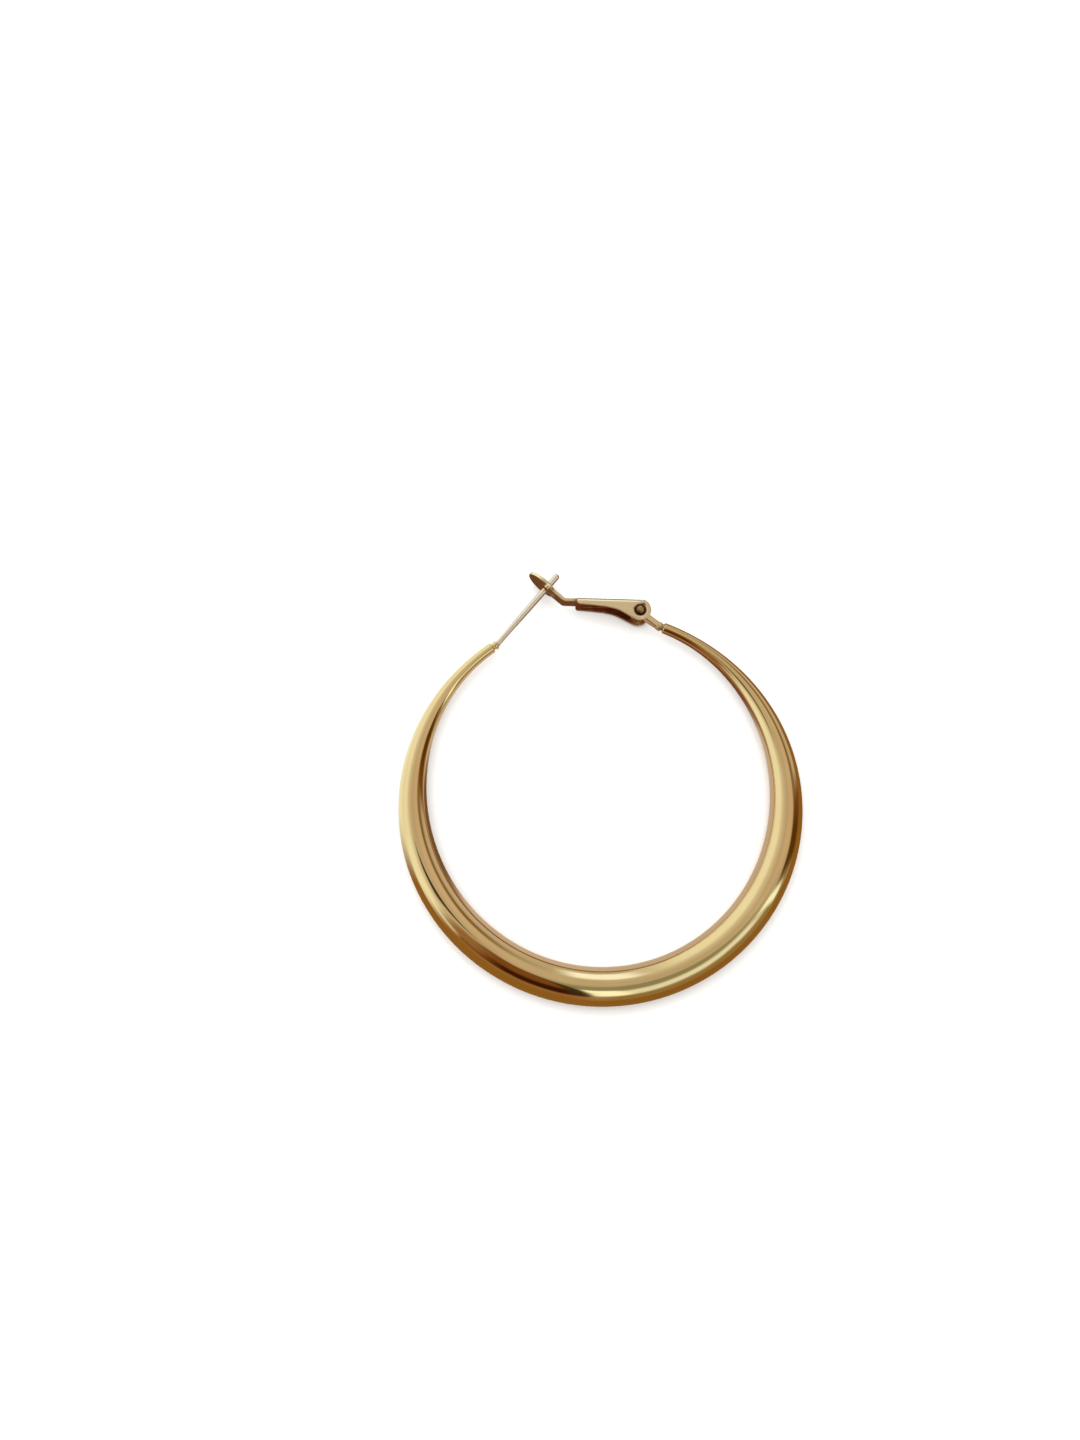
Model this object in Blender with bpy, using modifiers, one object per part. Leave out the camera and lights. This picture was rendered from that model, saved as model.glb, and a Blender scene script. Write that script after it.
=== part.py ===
"""A hinged hoop earring: a tapered round tube bent to an open ring, an ear post and a folded catch lever.

The ring lies in the XY plane with its thickest point towards -Y and its opening towards +Y.
Blender's unit is the metre, so every size below is given in millimetres times MM.
"""

import math

import bmesh
import bpy
from mathutils import Matrix, Vector

MM = 0.001

# Hoop tube
HOOP_RADIUS = 23.3 * MM
HALF_SWEEP = math.radians(152.0)
TUBE_RADIUS = 2.4 * MM
TUBE_END_RADIUS = 0.69 * MM
TUBE_WALL = 0.35 * MM
TAPER_POWER = 1.9
TUBE_STATIONS = 66
TUBE_CORNERS = 20

# Turned caps in the tube's two ends
PLUG_DEPTH = 1.2 * MM
PLUG_CLEARANCE = 0.06 * MM
GROOVE_LENGTH = 0.3 * MM
GROOVE_RADIUS = 0.44 * MM
COLLAR_LENGTH = 0.35 * MM
COLLAR_RADIUS = 0.58 * MM
COLLAR_EDGE = 0.08 * MM
CAP_CORNERS = 16
ROUND_CORNERS = 24
END_KINK = math.radians(14.4)

# Ear post
POST_LENGTH = 12.05 * MM
POST_RADIUS = 0.38 * MM
POST_BEND = 0.6 * MM
POST_TIP_ROUND = 0.3 * MM
POST_TIP_TURN = math.radians(80.0)
POST_BEND_STEPS = 3
POST_TIP_STEPS = 4
POST_NOTCH_FROM_TIP = 2.4 * MM
POST_NOTCH_WIDTH = 0.4 * MM
POST_NOTCH_DEPTH = 0.07 * MM
CATCH_STATION = 9.8 * MM

# Hinge lug and its pin
NECK_LENGTH = 3.0 * MM
NECK_WIDTH = 0.85 * MM
NECK_HEIGHT_AT_COLLAR = 0.95 * MM
NECK_HEIGHT_AT_EYE = 1.7 * MM
EYE_RADIUS = 0.82 * MM
PIN_RADIUS = 0.4 * MM
PIN_CLEARANCE = 0.05 * MM
HEAD_RADIUS = 0.55 * MM
HEAD_PROUD = 0.14 * MM
HEAD_RIM = 0.1 * MM
DOME_STEPS = 4
RECESS_RADIUS = 0.92 * MM
RECESS_FLOOR_RADIUS = 0.62 * MM
RECESS_DEPTH = 0.2 * MM

# Catch lever, folded from one sheet
SHEET = 0.4 * MM
CHANNEL_WIDTH = 3.6 * MM
DISC_RADIUS = 1.35 * MM
LUG_SIDE_CLEARANCE = 0.15 * MM
STRIP_START = 0.2 * MM
STRIP_NECK_WIDTH = 2.6 * MM
CHEEK_END_SHARE = 0.83
FOLD_RADIUS = 0.23 * MM
FOLD_CORNERS = 12
LEAF_WIDTH = 4.6 * MM
LEAF_TO_FOLD = 2.8 * MM
LEAF_TO_TIP = 2.8 * MM
LEAF_CENTRE = 0.7 * MM
LEAF_STEPS = 20
SLOT_CLEARANCE = 0.13 * MM
SLOT_STEPS = 8
DISC_START = math.radians(-105.0)
DISC_STEPS = 16

# The cheek's lower edge from the disc to the fold.
# along: share of the way from the hinge to the fold; rise: share of the disc's radius above the hinge
CHEEK_EDGE = (
    {"along": 0.075, "rise": -0.86},
    {"along": 0.138, "rise": -0.64},
    {"along": 0.190, "rise": -0.43},
    {"along": 0.245, "rise": -0.23},
    {"along": 0.300, "rise": -0.06},
    {"along": 0.370, "rise": 0.08},
    {"along": 0.460, "rise": 0.19},
    {"along": 0.553, "rise": 0.26},
    {"along": 0.680, "rise": 0.33},
    {"along": CHEEK_END_SHARE, "rise": 0.40},
)

# How far a cutter runs past what it cuts
CUT_PAST = 1.0 * MM
BORE_END = CHANNEL_WIDTH / 2.0 + CUT_PAST
WELD = 0.001 * MM

MODEL_NAME = "hoop_earring"


def clear_scene():
    for old in list(bpy.data.objects):
        bpy.data.objects.remove(old, do_unlink=True)


def new_collection(name):
    collection = bpy.data.collections.new(name)
    bpy.context.scene.collection.children.link(collection)
    return collection


def metal(name, colour, roughness):
    """A plated metal finish."""
    material = bpy.data.materials.new(name)
    material.use_nodes = True
    shader = material.node_tree.nodes["Principled BSDF"]
    shader.inputs["Base Color"].default_value = (*colour, 1.0)
    shader.inputs["Metallic"].default_value = 1.0
    shader.inputs["Roughness"].default_value = roughness
    material.diffuse_color = (*colour, 1.0)
    return material


def direction(angle):
    """The unit vector in the ring's plane at this angle from +X."""
    return Vector((math.cos(angle), math.sin(angle), 0.0))


def on_ring(angle):
    """The point of the tube's centreline at this angle from the thickest point."""
    return Vector((HOOP_RADIUS * math.sin(angle), -HOOP_RADIUS * math.cos(angle), 0.0))


def tube_radius(angle):
    """The tube's outer radius, fullest at the bottom and easing down to its two ends."""
    share = abs(angle) / HALF_SWEEP
    ease = (1.0 + math.cos(math.pi * share**TAPER_POWER)) / 2.0
    return TUBE_END_RADIUS + (TUBE_RADIUS - TUBE_END_RADIUS) * ease


# The clasp's layout in the ring's plane, with the ring's centre at the origin
POST_END = on_ring(-HALF_SWEEP)
HINGE_END = on_ring(HALF_SWEEP)
POST_CAP_ANGLE = math.pi - HALF_SWEEP
HINGE_CAP_ANGLE = HALF_SWEEP
CAP_LENGTH = GROOVE_LENGTH + COLLAR_LENGTH
POST_ANGLE = POST_CAP_ANGLE + END_KINK
NECK_ANGLE = HINGE_CAP_ANGLE - END_KINK
POST_BASE = POST_END + CAP_LENGTH * direction(POST_CAP_ANGLE)
NECK_BASE = HINGE_END + CAP_LENGTH * direction(HINGE_CAP_ANGLE)
POST_TIP = POST_BASE + POST_LENGTH * direction(POST_ANGLE)
HINGE = NECK_BASE + NECK_LENGTH * direction(NECK_ANGLE)

# The leaf stands square to the post, and the fold joins it to the strip
LEAF_ANGLE = POST_ANGLE + math.pi / 2.0
CATCH = POST_BASE + CATCH_STATION * direction(POST_ANGLE)
FOLD = CATCH - LEAF_TO_FOLD * direction(LEAF_ANGLE)
STRIP_RISE = DISC_RADIUS - SHEET / 2.0
HINGE_TO_FOLD = FOLD - HINGE
REACH = math.sqrt(HINGE_TO_FOLD.length**2 - STRIP_RISE**2)
STRIP_ANGLE = math.atan2(-HINGE_TO_FOLD.y, -HINGE_TO_FOLD.x) + math.asin(STRIP_RISE / HINGE_TO_FOLD.length)


def slot_travel():
    """How far the post slides along the leaf, towards the fold, before its tip leaves the slot."""
    post_way = direction(POST_ANGLE)
    leaf_way = direction(LEAF_ANGLE)
    behind = (HINGE - CATCH).dot(post_way)
    away = (CATCH - HINGE).dot(leaf_way)
    tip_behind = (HINGE - POST_TIP).dot(post_way)
    release = math.asin(behind / math.hypot(tip_behind, away)) - math.atan2(tip_behind, away)
    return away - (away - behind * math.sin(release)) / math.cos(release)


def link(name, mesh, collection):
    piece = bpy.data.objects.new(name, mesh)
    collection.objects.link(piece)
    return piece


def weld_mesh(mesh):
    """Welds loose caps and drops doubled corners."""
    work = bmesh.new()
    work.from_mesh(mesh)
    bmesh.ops.remove_doubles(work, verts=work.verts, dist=WELD)
    bmesh.ops.recalc_face_normals(work, faces=work.faces)
    work.to_mesh(mesh)
    work.free()


def mesh_from_curve(name, curve, collection):
    """The curve as a welded mesh object, in the curve's place."""
    holder = link(name + "_curve", curve, collection)
    bpy.context.view_layer.update()
    evaluated = holder.evaluated_get(bpy.context.evaluated_depsgraph_get())
    mesh = bpy.data.meshes.new_from_object(evaluated)
    mesh.name = name
    piece = link(name, mesh, collection)
    piece.matrix_world = holder.matrix_world
    bpy.data.objects.remove(holder, do_unlink=True)
    weld_mesh(mesh)
    return piece


def swept(name, stations, corners, capped, collection):
    """A round section swept along stations of (point, radius)."""
    widest = max(radius for _, radius in stations)
    curve = bpy.data.curves.new(name, "CURVE")
    curve.dimensions = "3D"
    curve.bevel_depth = widest
    curve.bevel_resolution = (corners - 4) // 2
    curve.use_fill_caps = capped
    spline = curve.splines.new("POLY")
    spline.points.add(len(stations) - 1)
    for knot, (point, radius) in zip(spline.points, stations):
        knot.co = (*point, 1.0)
        knot.radius = radius / widest
    return mesh_from_curve(name, curve, collection)


def plate(name, outline, thickness, collection):
    """A flat outline of (x, y) points as a plate centred on its own XY plane."""
    curve = bpy.data.curves.new(name, "CURVE")
    curve.dimensions = "2D"
    curve.fill_mode = "BOTH"
    curve.extrude = thickness / 2.0
    spline = curve.splines.new("POLY")
    spline.points.add(len(outline) - 1)
    for knot, point in zip(spline.points, outline):
        knot.co = (point[0], point[1], 0.0, 1.0)
    spline.use_cyclic_u = True
    return mesh_from_curve(name, curve, collection)


def turned(name, profile, corners, collection):
    """A turned piece on +Z from a profile of (radius, height), listed from the top down."""
    mesh = bpy.data.meshes.new(name)
    points = [(radius, 0.0, height) for radius, height in profile]
    edges = [(i, i + 1) for i in range(len(points) - 1)]
    mesh.from_pydata(points, edges, [])
    piece = link(name, mesh, collection)
    screw = piece.modifiers.new("turn", "SCREW")
    screw.steps = corners
    screw.render_steps = corners
    screw.use_merge_vertices = True
    screw.merge_threshold = WELD
    return piece


def rod_profile(radius, half_length):
    """A plain rod's profile, centred on the XY plane."""
    return [(0.0, half_length), (radius, half_length), (radius, -half_length), (0.0, -half_length)]


def box(name, low, high, collection):
    """A box between two corners, in the piece's own frame."""
    mesh = bpy.data.meshes.new(name)
    work = bmesh.new()
    bmesh.ops.create_cube(work, size=1.0)
    for corner in work.verts:
        for axis in range(3):
            corner.co[axis] = low[axis] if corner.co[axis] < 0.0 else high[axis]
    work.to_mesh(mesh)
    work.free()
    return link(name, mesh, collection)


def stand_in(piece):
    """Marks a cutter or a joined shape, which is only used by another piece."""
    piece.hide_render = True
    piece.display_type = "WIRE"
    return piece


def combine(piece, tool, operation):
    stand_in(tool)
    boolean = piece.modifiers.new(tool.name, "BOOLEAN")
    boolean.operation = operation
    boolean.solver = "EXACT"
    boolean.object = tool


def arc(radius, start, end, steps, centre=(0.0, 0.0)):
    """Points along an arc, both ends included."""
    angles = [start + (end - start) * i / steps for i in range(steps + 1)]
    return [(centre[0] + radius * math.cos(a), centre[1] + radius * math.sin(a)) for a in angles]


def make_hoop_tube(parts, finish):
    """The hollow tapered tube, open at both ends."""
    stations = []
    for i in range(TUBE_STATIONS + 1):
        angle = HALF_SWEEP * (2.0 * i / TUBE_STATIONS - 1.0)
        stations.append((on_ring(angle), tube_radius(angle)))
    tube = swept("hoop_tube", stations, TUBE_CORNERS, False, parts)
    wall = tube.modifiers.new("wall", "SOLIDIFY")
    wall.thickness = TUBE_WALL
    wall.offset = -1.0
    wall.use_even_offset = True
    tube.data.materials.append(finish)
    return tube


def cap_profile():
    """The turned cap along its axis from the tube's end: collar, groove, then the plug in the tube."""
    plug_radius = TUBE_END_RADIUS - TUBE_WALL - PLUG_CLEARANCE
    return [
        (0.0, CAP_LENGTH),
        (COLLAR_RADIUS - COLLAR_EDGE, CAP_LENGTH),
        (COLLAR_RADIUS, CAP_LENGTH - COLLAR_EDGE),
        (COLLAR_RADIUS, GROOVE_LENGTH + COLLAR_EDGE),
        (COLLAR_RADIUS - COLLAR_EDGE, GROOVE_LENGTH),
        (GROOVE_RADIUS, GROOVE_LENGTH),
        (GROOVE_RADIUS, PLUG_CLEARANCE),
        (plug_radius, PLUG_CLEARANCE),
        (plug_radius, -PLUG_DEPTH),
        (0.0, -PLUG_DEPTH),
    ]


def set_cap(cap, end, angle):
    """Puts a cap's axis at a tube end, pointing out of the tube."""
    cap.rotation_euler = direction(angle).to_track_quat("Z", "Y").to_euler()
    cap.location = end


def post_stations():
    """The post's centreline from inside the collar, round its small bend, to the rounded tip."""
    start = POST_BASE - 0.5 * COLLAR_LENGTH * direction(POST_CAP_ANGLE)
    stations = [(start, POST_RADIUS), (POST_BASE, POST_RADIUS)]
    for i in range(1, POST_BEND_STEPS):
        turn = POST_CAP_ANGLE + END_KINK * i / POST_BEND_STEPS
        previous = stations[-1][0]
        stations.append((previous + POST_BEND / POST_BEND_STEPS * direction(turn), POST_RADIUS))
    way = direction(POST_ANGLE)
    notch = POST_LENGTH - POST_NOTCH_FROM_TIP
    stations += [
        (POST_BASE + way * POST_BEND, POST_RADIUS),
        (POST_BASE + way * (notch - POST_NOTCH_WIDTH / 2.0), POST_RADIUS),
        (POST_BASE + way * notch, POST_RADIUS - POST_NOTCH_DEPTH),
        (POST_BASE + way * (notch + POST_NOTCH_WIDTH / 2.0), POST_RADIUS),
    ]
    for i in range(POST_TIP_STEPS + 1):
        turn = POST_TIP_TURN * i / POST_TIP_STEPS
        along = POST_LENGTH - POST_TIP_ROUND * (1.0 - math.sin(turn) / math.sin(POST_TIP_TURN))
        stations.append((POST_BASE + way * along, POST_RADIUS * math.cos(turn)))
    return stations


def make_ear_post(parts, tools, finish):
    """The post wire and its turned cap, soldered into one."""
    post = turned("ear_post", cap_profile(), CAP_CORNERS, parts)
    set_cap(post, POST_END, POST_CAP_ANGLE)
    wire = swept("post_wire", post_stations(), CAP_CORNERS, True, tools)
    combine(post, wire, "UNION")
    post.data.materials.append(finish)
    return post


def make_hinge_lug(parts, tools, finish):
    """The cap on the other end, with a flared neck and a round eye for the pin."""
    lug = turned("hinge_lug", cap_profile(), CAP_CORNERS, parts)
    set_cap(lug, HINGE_END, HINGE_CAP_ANGLE)
    eye_top = CHANNEL_WIDTH / 2.0 - SHEET - LUG_SIDE_CLEARANCE
    neck_mesh = bpy.data.meshes.new("lug_neck")
    work = bmesh.new()
    bmesh.ops.create_cube(work, size=1.0)
    for corner in work.verts:
        at_eye = corner.co.x > 0.0
        height = NECK_HEIGHT_AT_EYE if at_eye else NECK_HEIGHT_AT_COLLAR
        corner.co.x = NECK_LENGTH if at_eye else -COLLAR_LENGTH / 2.0
        corner.co.y *= NECK_WIDTH
        corner.co.z *= height
    work.to_mesh(neck_mesh)
    work.free()
    neck = link("lug_neck", neck_mesh, tools)
    neck.location = NECK_BASE
    neck.rotation_euler = (0.0, 0.0, NECK_ANGLE)
    eye = turned("lug_eye", rod_profile(EYE_RADIUS, eye_top), ROUND_CORNERS, tools)
    eye.location = HINGE
    bore = turned("lug_bore", rod_profile(PIN_RADIUS + PIN_CLEARANCE, BORE_END), ROUND_CORNERS, tools)
    bore.location = HINGE
    combine(lug, neck, "UNION")
    combine(lug, eye, "UNION")
    combine(lug, bore, "DIFFERENCE")
    lug.data.materials.append(finish)
    return lug


def make_hinge_pin(parts, finish):
    """The rivet, with a domed head sunk in each cheek."""
    face = CHANNEL_WIDTH / 2.0
    under = face - RECESS_DEPTH + PIN_CLEARANCE
    top = face + HEAD_PROUD
    dome = top - under - HEAD_RIM
    upper = [(0.0, top)]
    for i in range(1, DOME_STEPS + 1):
        turn = math.pi / 2.0 * i / DOME_STEPS
        upper.append((HEAD_RADIUS * math.sin(turn), top - dome * (1.0 - math.cos(turn))))
    upper += [(HEAD_RADIUS, under), (PIN_RADIUS, under)]
    lower = [(radius, -height) for radius, height in reversed(upper)]
    pin = turned("hinge_pin", upper + lower, ROUND_CORNERS, parts)
    pin.location = HINGE
    pin.data.materials.append(finish)
    return pin


def recess_profile():
    """The countersink round the rivet's head in the upper cheek."""
    face = CHANNEL_WIDTH / 2.0
    flare = (RECESS_RADIUS - RECESS_FLOOR_RADIUS) / RECESS_DEPTH
    return [
        (0.0, face + CUT_PAST),
        (RECESS_RADIUS + flare * CUT_PAST, face + CUT_PAST),
        (RECESS_FLOOR_RADIUS, face - RECESS_DEPTH),
        (0.0, face - RECESS_DEPTH),
    ]


def side_outline():
    """The channel seen from the side, hinge at the origin and the fold towards -X."""
    outline = [(-REACH, DISC_RADIUS), (-REACH, DISC_RADIUS - SHEET)]
    outline.append((-REACH * CHEEK_END_SHARE, DISC_RADIUS - SHEET))
    for row in reversed(CHEEK_EDGE):
        outline.append((-REACH * row["along"], DISC_RADIUS * row["rise"]))
    outline += arc(DISC_RADIUS, DISC_START, math.pi / 2.0, DISC_STEPS)
    return outline


def leaf_outline():
    """The leaf seen along the post, the catch at the origin and the fold towards -X."""
    half_neck = STRIP_NECK_WIDTH / 2.0
    long_half = LEAF_TO_TIP - LEAF_CENTRE
    short_half = LEAF_WIDTH / 2.0
    shoulder = math.pi - math.asin(half_neck / short_half)
    outline = [(-LEAF_TO_FOLD, -half_neck)]
    for i in range(LEAF_STEPS + 1):
        turn = shoulder * (2.0 * i / LEAF_STEPS - 1.0)
        outline.append((LEAF_CENTRE + long_half * math.cos(turn), short_half * math.sin(turn)))
    outline.append((-LEAF_TO_FOLD, half_neck))
    return outline


def slot_outline():
    """The slot that lets the post through while the lever swings."""
    half = POST_RADIUS + SLOT_CLEARANCE
    back = -slot_travel() - SLOT_CLEARANCE
    right = arc(half, -math.pi / 2.0, math.pi / 2.0, SLOT_STEPS)
    left = arc(half, math.pi / 2.0, math.pi * 1.5, SLOT_STEPS, centre=(back, 0.0))
    return right + left


def make_clip_lever(parts, tools, finish):
    """The folded channel, its fold and the slotted leaf, all one sheet. Its origin is on the hinge's axis."""
    lever = plate("clip_lever", side_outline(), CHANNEL_WIDTH, parts)
    lever.location = HINGE
    lever.rotation_euler = (0.0, 0.0, STRIP_ANGLE)
    half = CHANNEL_WIDTH / 2.0
    inner = half - SHEET
    strip_inner = DISC_RADIUS - SHEET

    hollow = box(
        "lever_hollow",
        (-REACH - CUT_PAST, -DISC_RADIUS - CUT_PAST, -inner),
        (DISC_RADIUS + CUT_PAST, strip_inner, inner),
        tools,
    )
    mouth = box(
        "lever_mouth",
        (STRIP_START, 0.0, -inner),
        (DISC_RADIUS + CUT_PAST, DISC_RADIUS + CUT_PAST, inner),
        tools,
    )
    place_with(hollow, lever)
    place_with(mouth, lever)
    combine(lever, hollow, "DIFFERENCE")
    combine(lever, mouth, "DIFFERENCE")
    for side in (-1.0, 1.0):
        levels = sorted((side * STRIP_NECK_WIDTH / 2.0, side * (half + CUT_PAST)))
        name = "lever_notch_top" if side > 0.0 else "lever_notch_bottom"
        notch = box(
            name,
            (-REACH - CUT_PAST, 0.0, levels[0]),
            (-REACH * CHEEK_END_SHARE, DISC_RADIUS + CUT_PAST, levels[1]),
            tools,
        )
        place_with(notch, lever)
        combine(lever, notch, "DIFFERENCE")

    fold = turned("lever_fold", rod_profile(FOLD_RADIUS, STRIP_NECK_WIDTH / 2.0 - WELD), FOLD_CORNERS, tools)
    fold.location = FOLD
    leaf = plate("lever_leaf", leaf_outline(), SHEET, tools)
    slot = plate("leaf_slot", slot_outline(), SHEET + 2.0 * CUT_PAST, tools)
    across = Vector((0.0, 0.0, 1.0))
    way = direction(LEAF_ANGLE)
    stand = Matrix((way, across, way.cross(across))).transposed()
    for piece in (leaf, slot):
        piece.matrix_world = Matrix.Translation(CATCH) @ stand.to_4x4()
    combine(lever, fold, "UNION")
    combine(lever, leaf, "UNION")
    combine(lever, slot, "DIFFERENCE")

    bore = turned("cheek_bore", rod_profile(PIN_RADIUS + PIN_CLEARANCE, BORE_END), ROUND_CORNERS, tools)
    bore.location = HINGE
    recess = turned("recess_top", recess_profile(), ROUND_CORNERS, tools)
    recess.location = HINGE
    under = turned("recess_bottom", recess_profile(), ROUND_CORNERS, tools)
    under.location = HINGE
    under.rotation_euler = (math.pi, 0.0, 0.0)
    combine(lever, bore, "DIFFERENCE")
    combine(lever, recess, "DIFFERENCE")
    combine(lever, under, "DIFFERENCE")
    lever.data.materials.append(finish)
    return lever


def place_with(piece, other):
    piece.location = other.location
    piece.rotation_euler = other.rotation_euler


def stand_on_origin(root, pieces):
    """Sets the frame's origin under the middle of the whole earring, on the surface that it lies on."""
    bpy.context.view_layer.update()
    graph = bpy.context.evaluated_depsgraph_get()
    corners = []
    for piece in pieces:
        shape = piece.evaluated_get(graph)
        mesh = shape.to_mesh()
        corners += [shape.matrix_world @ vertex.co for vertex in mesh.vertices]
        shape.to_mesh_clear()
    lows = [min(corner[axis] for corner in corners) for axis in range(3)]
    highs = [max(corner[axis] for corner in corners) for axis in range(3)]
    root.location = (-(lows[0] + highs[0]) / 2.0, -(lows[1] + highs[1]) / 2.0, -lows[2])


def build():
    clear_scene()
    parts = new_collection(MODEL_NAME)
    tools = new_collection("cutters")
    gold = metal("polished_gold", (0.83, 0.61, 0.27), 0.12)
    warm_gold = metal("warm_gold", (0.78, 0.55, 0.24), 0.18)
    pale_gold = metal("pale_gold", (0.86, 0.72, 0.52), 0.22)
    pieces = [
        make_hoop_tube(parts, gold),
        make_ear_post(parts, tools, pale_gold),
        make_hinge_lug(parts, tools, warm_gold),
        make_clip_lever(parts, tools, gold),
        make_hinge_pin(parts, warm_gold),
    ]
    root = bpy.data.objects.new(MODEL_NAME + "_origin", None)
    parts.objects.link(root)
    for piece in pieces:
        piece.data.shade_smooth()
    for piece in [*pieces, *tools.objects]:
        piece.parent = root
    stand_on_origin(root, pieces)


build()
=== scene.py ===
"""A polished gold hoop earring with a folded catch lever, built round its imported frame."""
import math
from itertools import zip_longest

import bmesh
import bpy
import numpy as np
from mathutils import Matrix, Vector
from mathutils.geometry import delaunay_2d_cdt
from mathutils.kdtree import KDTree


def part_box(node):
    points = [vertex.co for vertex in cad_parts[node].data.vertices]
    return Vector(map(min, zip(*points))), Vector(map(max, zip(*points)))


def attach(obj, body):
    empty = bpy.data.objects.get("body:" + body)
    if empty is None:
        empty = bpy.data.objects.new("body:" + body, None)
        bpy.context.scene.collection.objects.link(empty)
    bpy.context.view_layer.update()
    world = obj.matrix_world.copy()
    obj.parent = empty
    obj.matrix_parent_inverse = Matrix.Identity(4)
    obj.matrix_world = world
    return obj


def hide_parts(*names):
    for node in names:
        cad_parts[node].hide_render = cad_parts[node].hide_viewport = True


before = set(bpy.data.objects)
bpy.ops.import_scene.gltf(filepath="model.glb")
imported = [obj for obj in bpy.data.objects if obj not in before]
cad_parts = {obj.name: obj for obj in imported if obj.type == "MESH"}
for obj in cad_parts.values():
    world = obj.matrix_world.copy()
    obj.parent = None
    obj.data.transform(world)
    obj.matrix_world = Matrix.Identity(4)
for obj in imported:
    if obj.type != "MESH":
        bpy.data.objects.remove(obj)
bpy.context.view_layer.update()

MM = 0.001

# The ring and its tapered tube
HOOP_RADIUS = 23.3 * MM
HALF_SWEEP = math.radians(152.0)
TUBE_RADIUS = 2.4 * MM
TUBE_END_RADIUS = 0.69 * MM
TUBE_WALL = 0.35 * MM
TAPER_POWER = 1.9
SHOULDER = 0.2 * MM
SHOULDER_START = 1.6 * SHOULDER
OUTER_WALL_STOP = 1.15 * SHOULDER
LIP = 0.04 * MM
BORE_STOP = 4.0 * LIP
TUBE_CORNERS = 96
OUTER_STATIONS = 360
INNER_STATIONS = 120

# The turned caps in the tube's ends
PLUG_DEPTH = 1.2 * MM
PLUG_RADIUS = 0.28 * MM
PLUG_ROUND = 0.05 * MM
GROOVE_LENGTH = 0.3 * MM
GROOVE_RADIUS = 0.44 * MM
GROOVE_ROUND = 0.05 * MM
COLLAR_LENGTH = 0.35 * MM
COLLAR_RADIUS = 0.58 * MM
COLLAR_ROUND = 0.09 * MM
CAP_LENGTH = GROOVE_LENGTH + COLLAR_LENGTH
CAP_CORNERS = 48
END_KINK = math.radians(14.4)

# The solder between a cap and the tube's end face
SOLDER_INNER = 0.30 * MM
SOLDER_OUTER = 0.56 * MM
SOLDER_FOOT = 0.03 * MM
SOLDER_LIFT = 0.005 * MM
SOLDER_TOP = 0.05 * MM
SOLDER_ROUND = 0.07 * MM

# The ear post
POST_LENGTH = 12.05 * MM
POST_RADIUS = 0.38 * MM
POST_BEND = 0.6 * MM
POST_FILLET = (0.06 * MM, 0.03 * MM, 0.012 * MM, 0.004 * MM)
POST_TIP_ROUND = 0.3 * MM
NOTCH_FROM_TIP = 2.4 * MM
NOTCH_WIDTH = 0.4 * MM
NOTCH_DEPTH = 0.07 * MM
CATCH_STATION = 9.8 * MM
BEND_STEPS = 12
STRAIGHT_STEPS = 24
NOTCH_STEPS = 16
TIP_STEPS = 5

# The hinge lug and its rivet
NECK_LENGTH = 3.0 * MM
NECK_WIDTH = 0.85 * MM
NECK_HEIGHT_AT_COLLAR = 0.95 * MM
NECK_HEIGHT_AT_EYE = 1.7 * MM
NECK_ROUND = 0.2 * MM
NECK_IN_COLLAR = 0.12 * MM
NECK_IN_EYE = 0.6 * MM
NECK_STEPS = 14
NECK_CROWDING = 1.3
NECK_SOLDER = 0.07 * MM
NECK_SOLDER_LENGTH = 0.2 * MM
NECK_SOLDER_RISE = 0.3
LUG_COLLAR_INNER = 0.2 * MM
EYE_RADIUS = 0.82 * MM
EYE_HALF = 1.25 * MM
EYE_ROUND = 0.08 * MM
BORE_RADIUS = 0.45 * MM
BORE_ROUND = 0.04 * MM
PIN_RADIUS = 0.4 * MM
HEAD_RADIUS = 0.55 * MM
HEAD_PROUD = 0.14 * MM
HEAD_UNDER = 0.15 * MM
HEAD_RIM = 0.1 * MM
HEAD_EDGE = 0.03 * MM
HEAD_TUCK = (0.01 * MM, 0.04 * MM)
ROUND_CORNERS = 64
ARC_STEPS = 12

# The catch lever, folded from one sheet
SHEET = 0.4 * MM
CHANNEL_WIDTH = 3.6 * MM
DISC_RADIUS = 1.35 * MM
MOUTH = 0.2 * MM
MOUTH_SLIT = 0.06 * MM
LEAF_NECK_HALF = 1.3 * MM
CHEEK_END_SHARE = 0.83
CORNER_PAST_CHEEKS = 0.02 * MM
FOLDS_PAST_CHEEKS = 0.05 * MM
SIDE_FOLD = 0.3 * MM
LEAF_FOLD = 0.45 * MM
LEAF_HALF = 2.3 * MM
LEAF_TO_FOLD = 2.8 * MM
LEAF_TO_TIP = 2.8 * MM
LEAF_CENTRE = 0.7 * MM
SLOT_HALF = 0.51 * MM
SLOT_BACK = 1.0066 * MM
RECESS_FLOOR = 0.62 * MM
RECESS_RIM = 0.92 * MM
RECESS_DEPTH = 0.2 * MM
RECESS_SOFTNESS = 0.12
SHEET_EDGE = 0.06 * MM
EDGE_TURNS = [math.radians(a) for a in (0.0, 30.0, 60.0, 90.0)]
LEAF_CORNER = 0.5 * MM
STRIP_CORNER = 0.12 * MM
CHEEK_CORNER = 0.30 * MM
DISC_CORNER = 0.09 * MM
SLIT_CORNER = 0.03 * MM
SLIT_FOOT = 0.08 * MM
DISC_FIRST_TURN = math.radians(-105.0)
LEAF_STEPS = 28
DISC_STEPS = 40
SLOT_STEPS = 16
HOLE_CORNERS = 48

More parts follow.
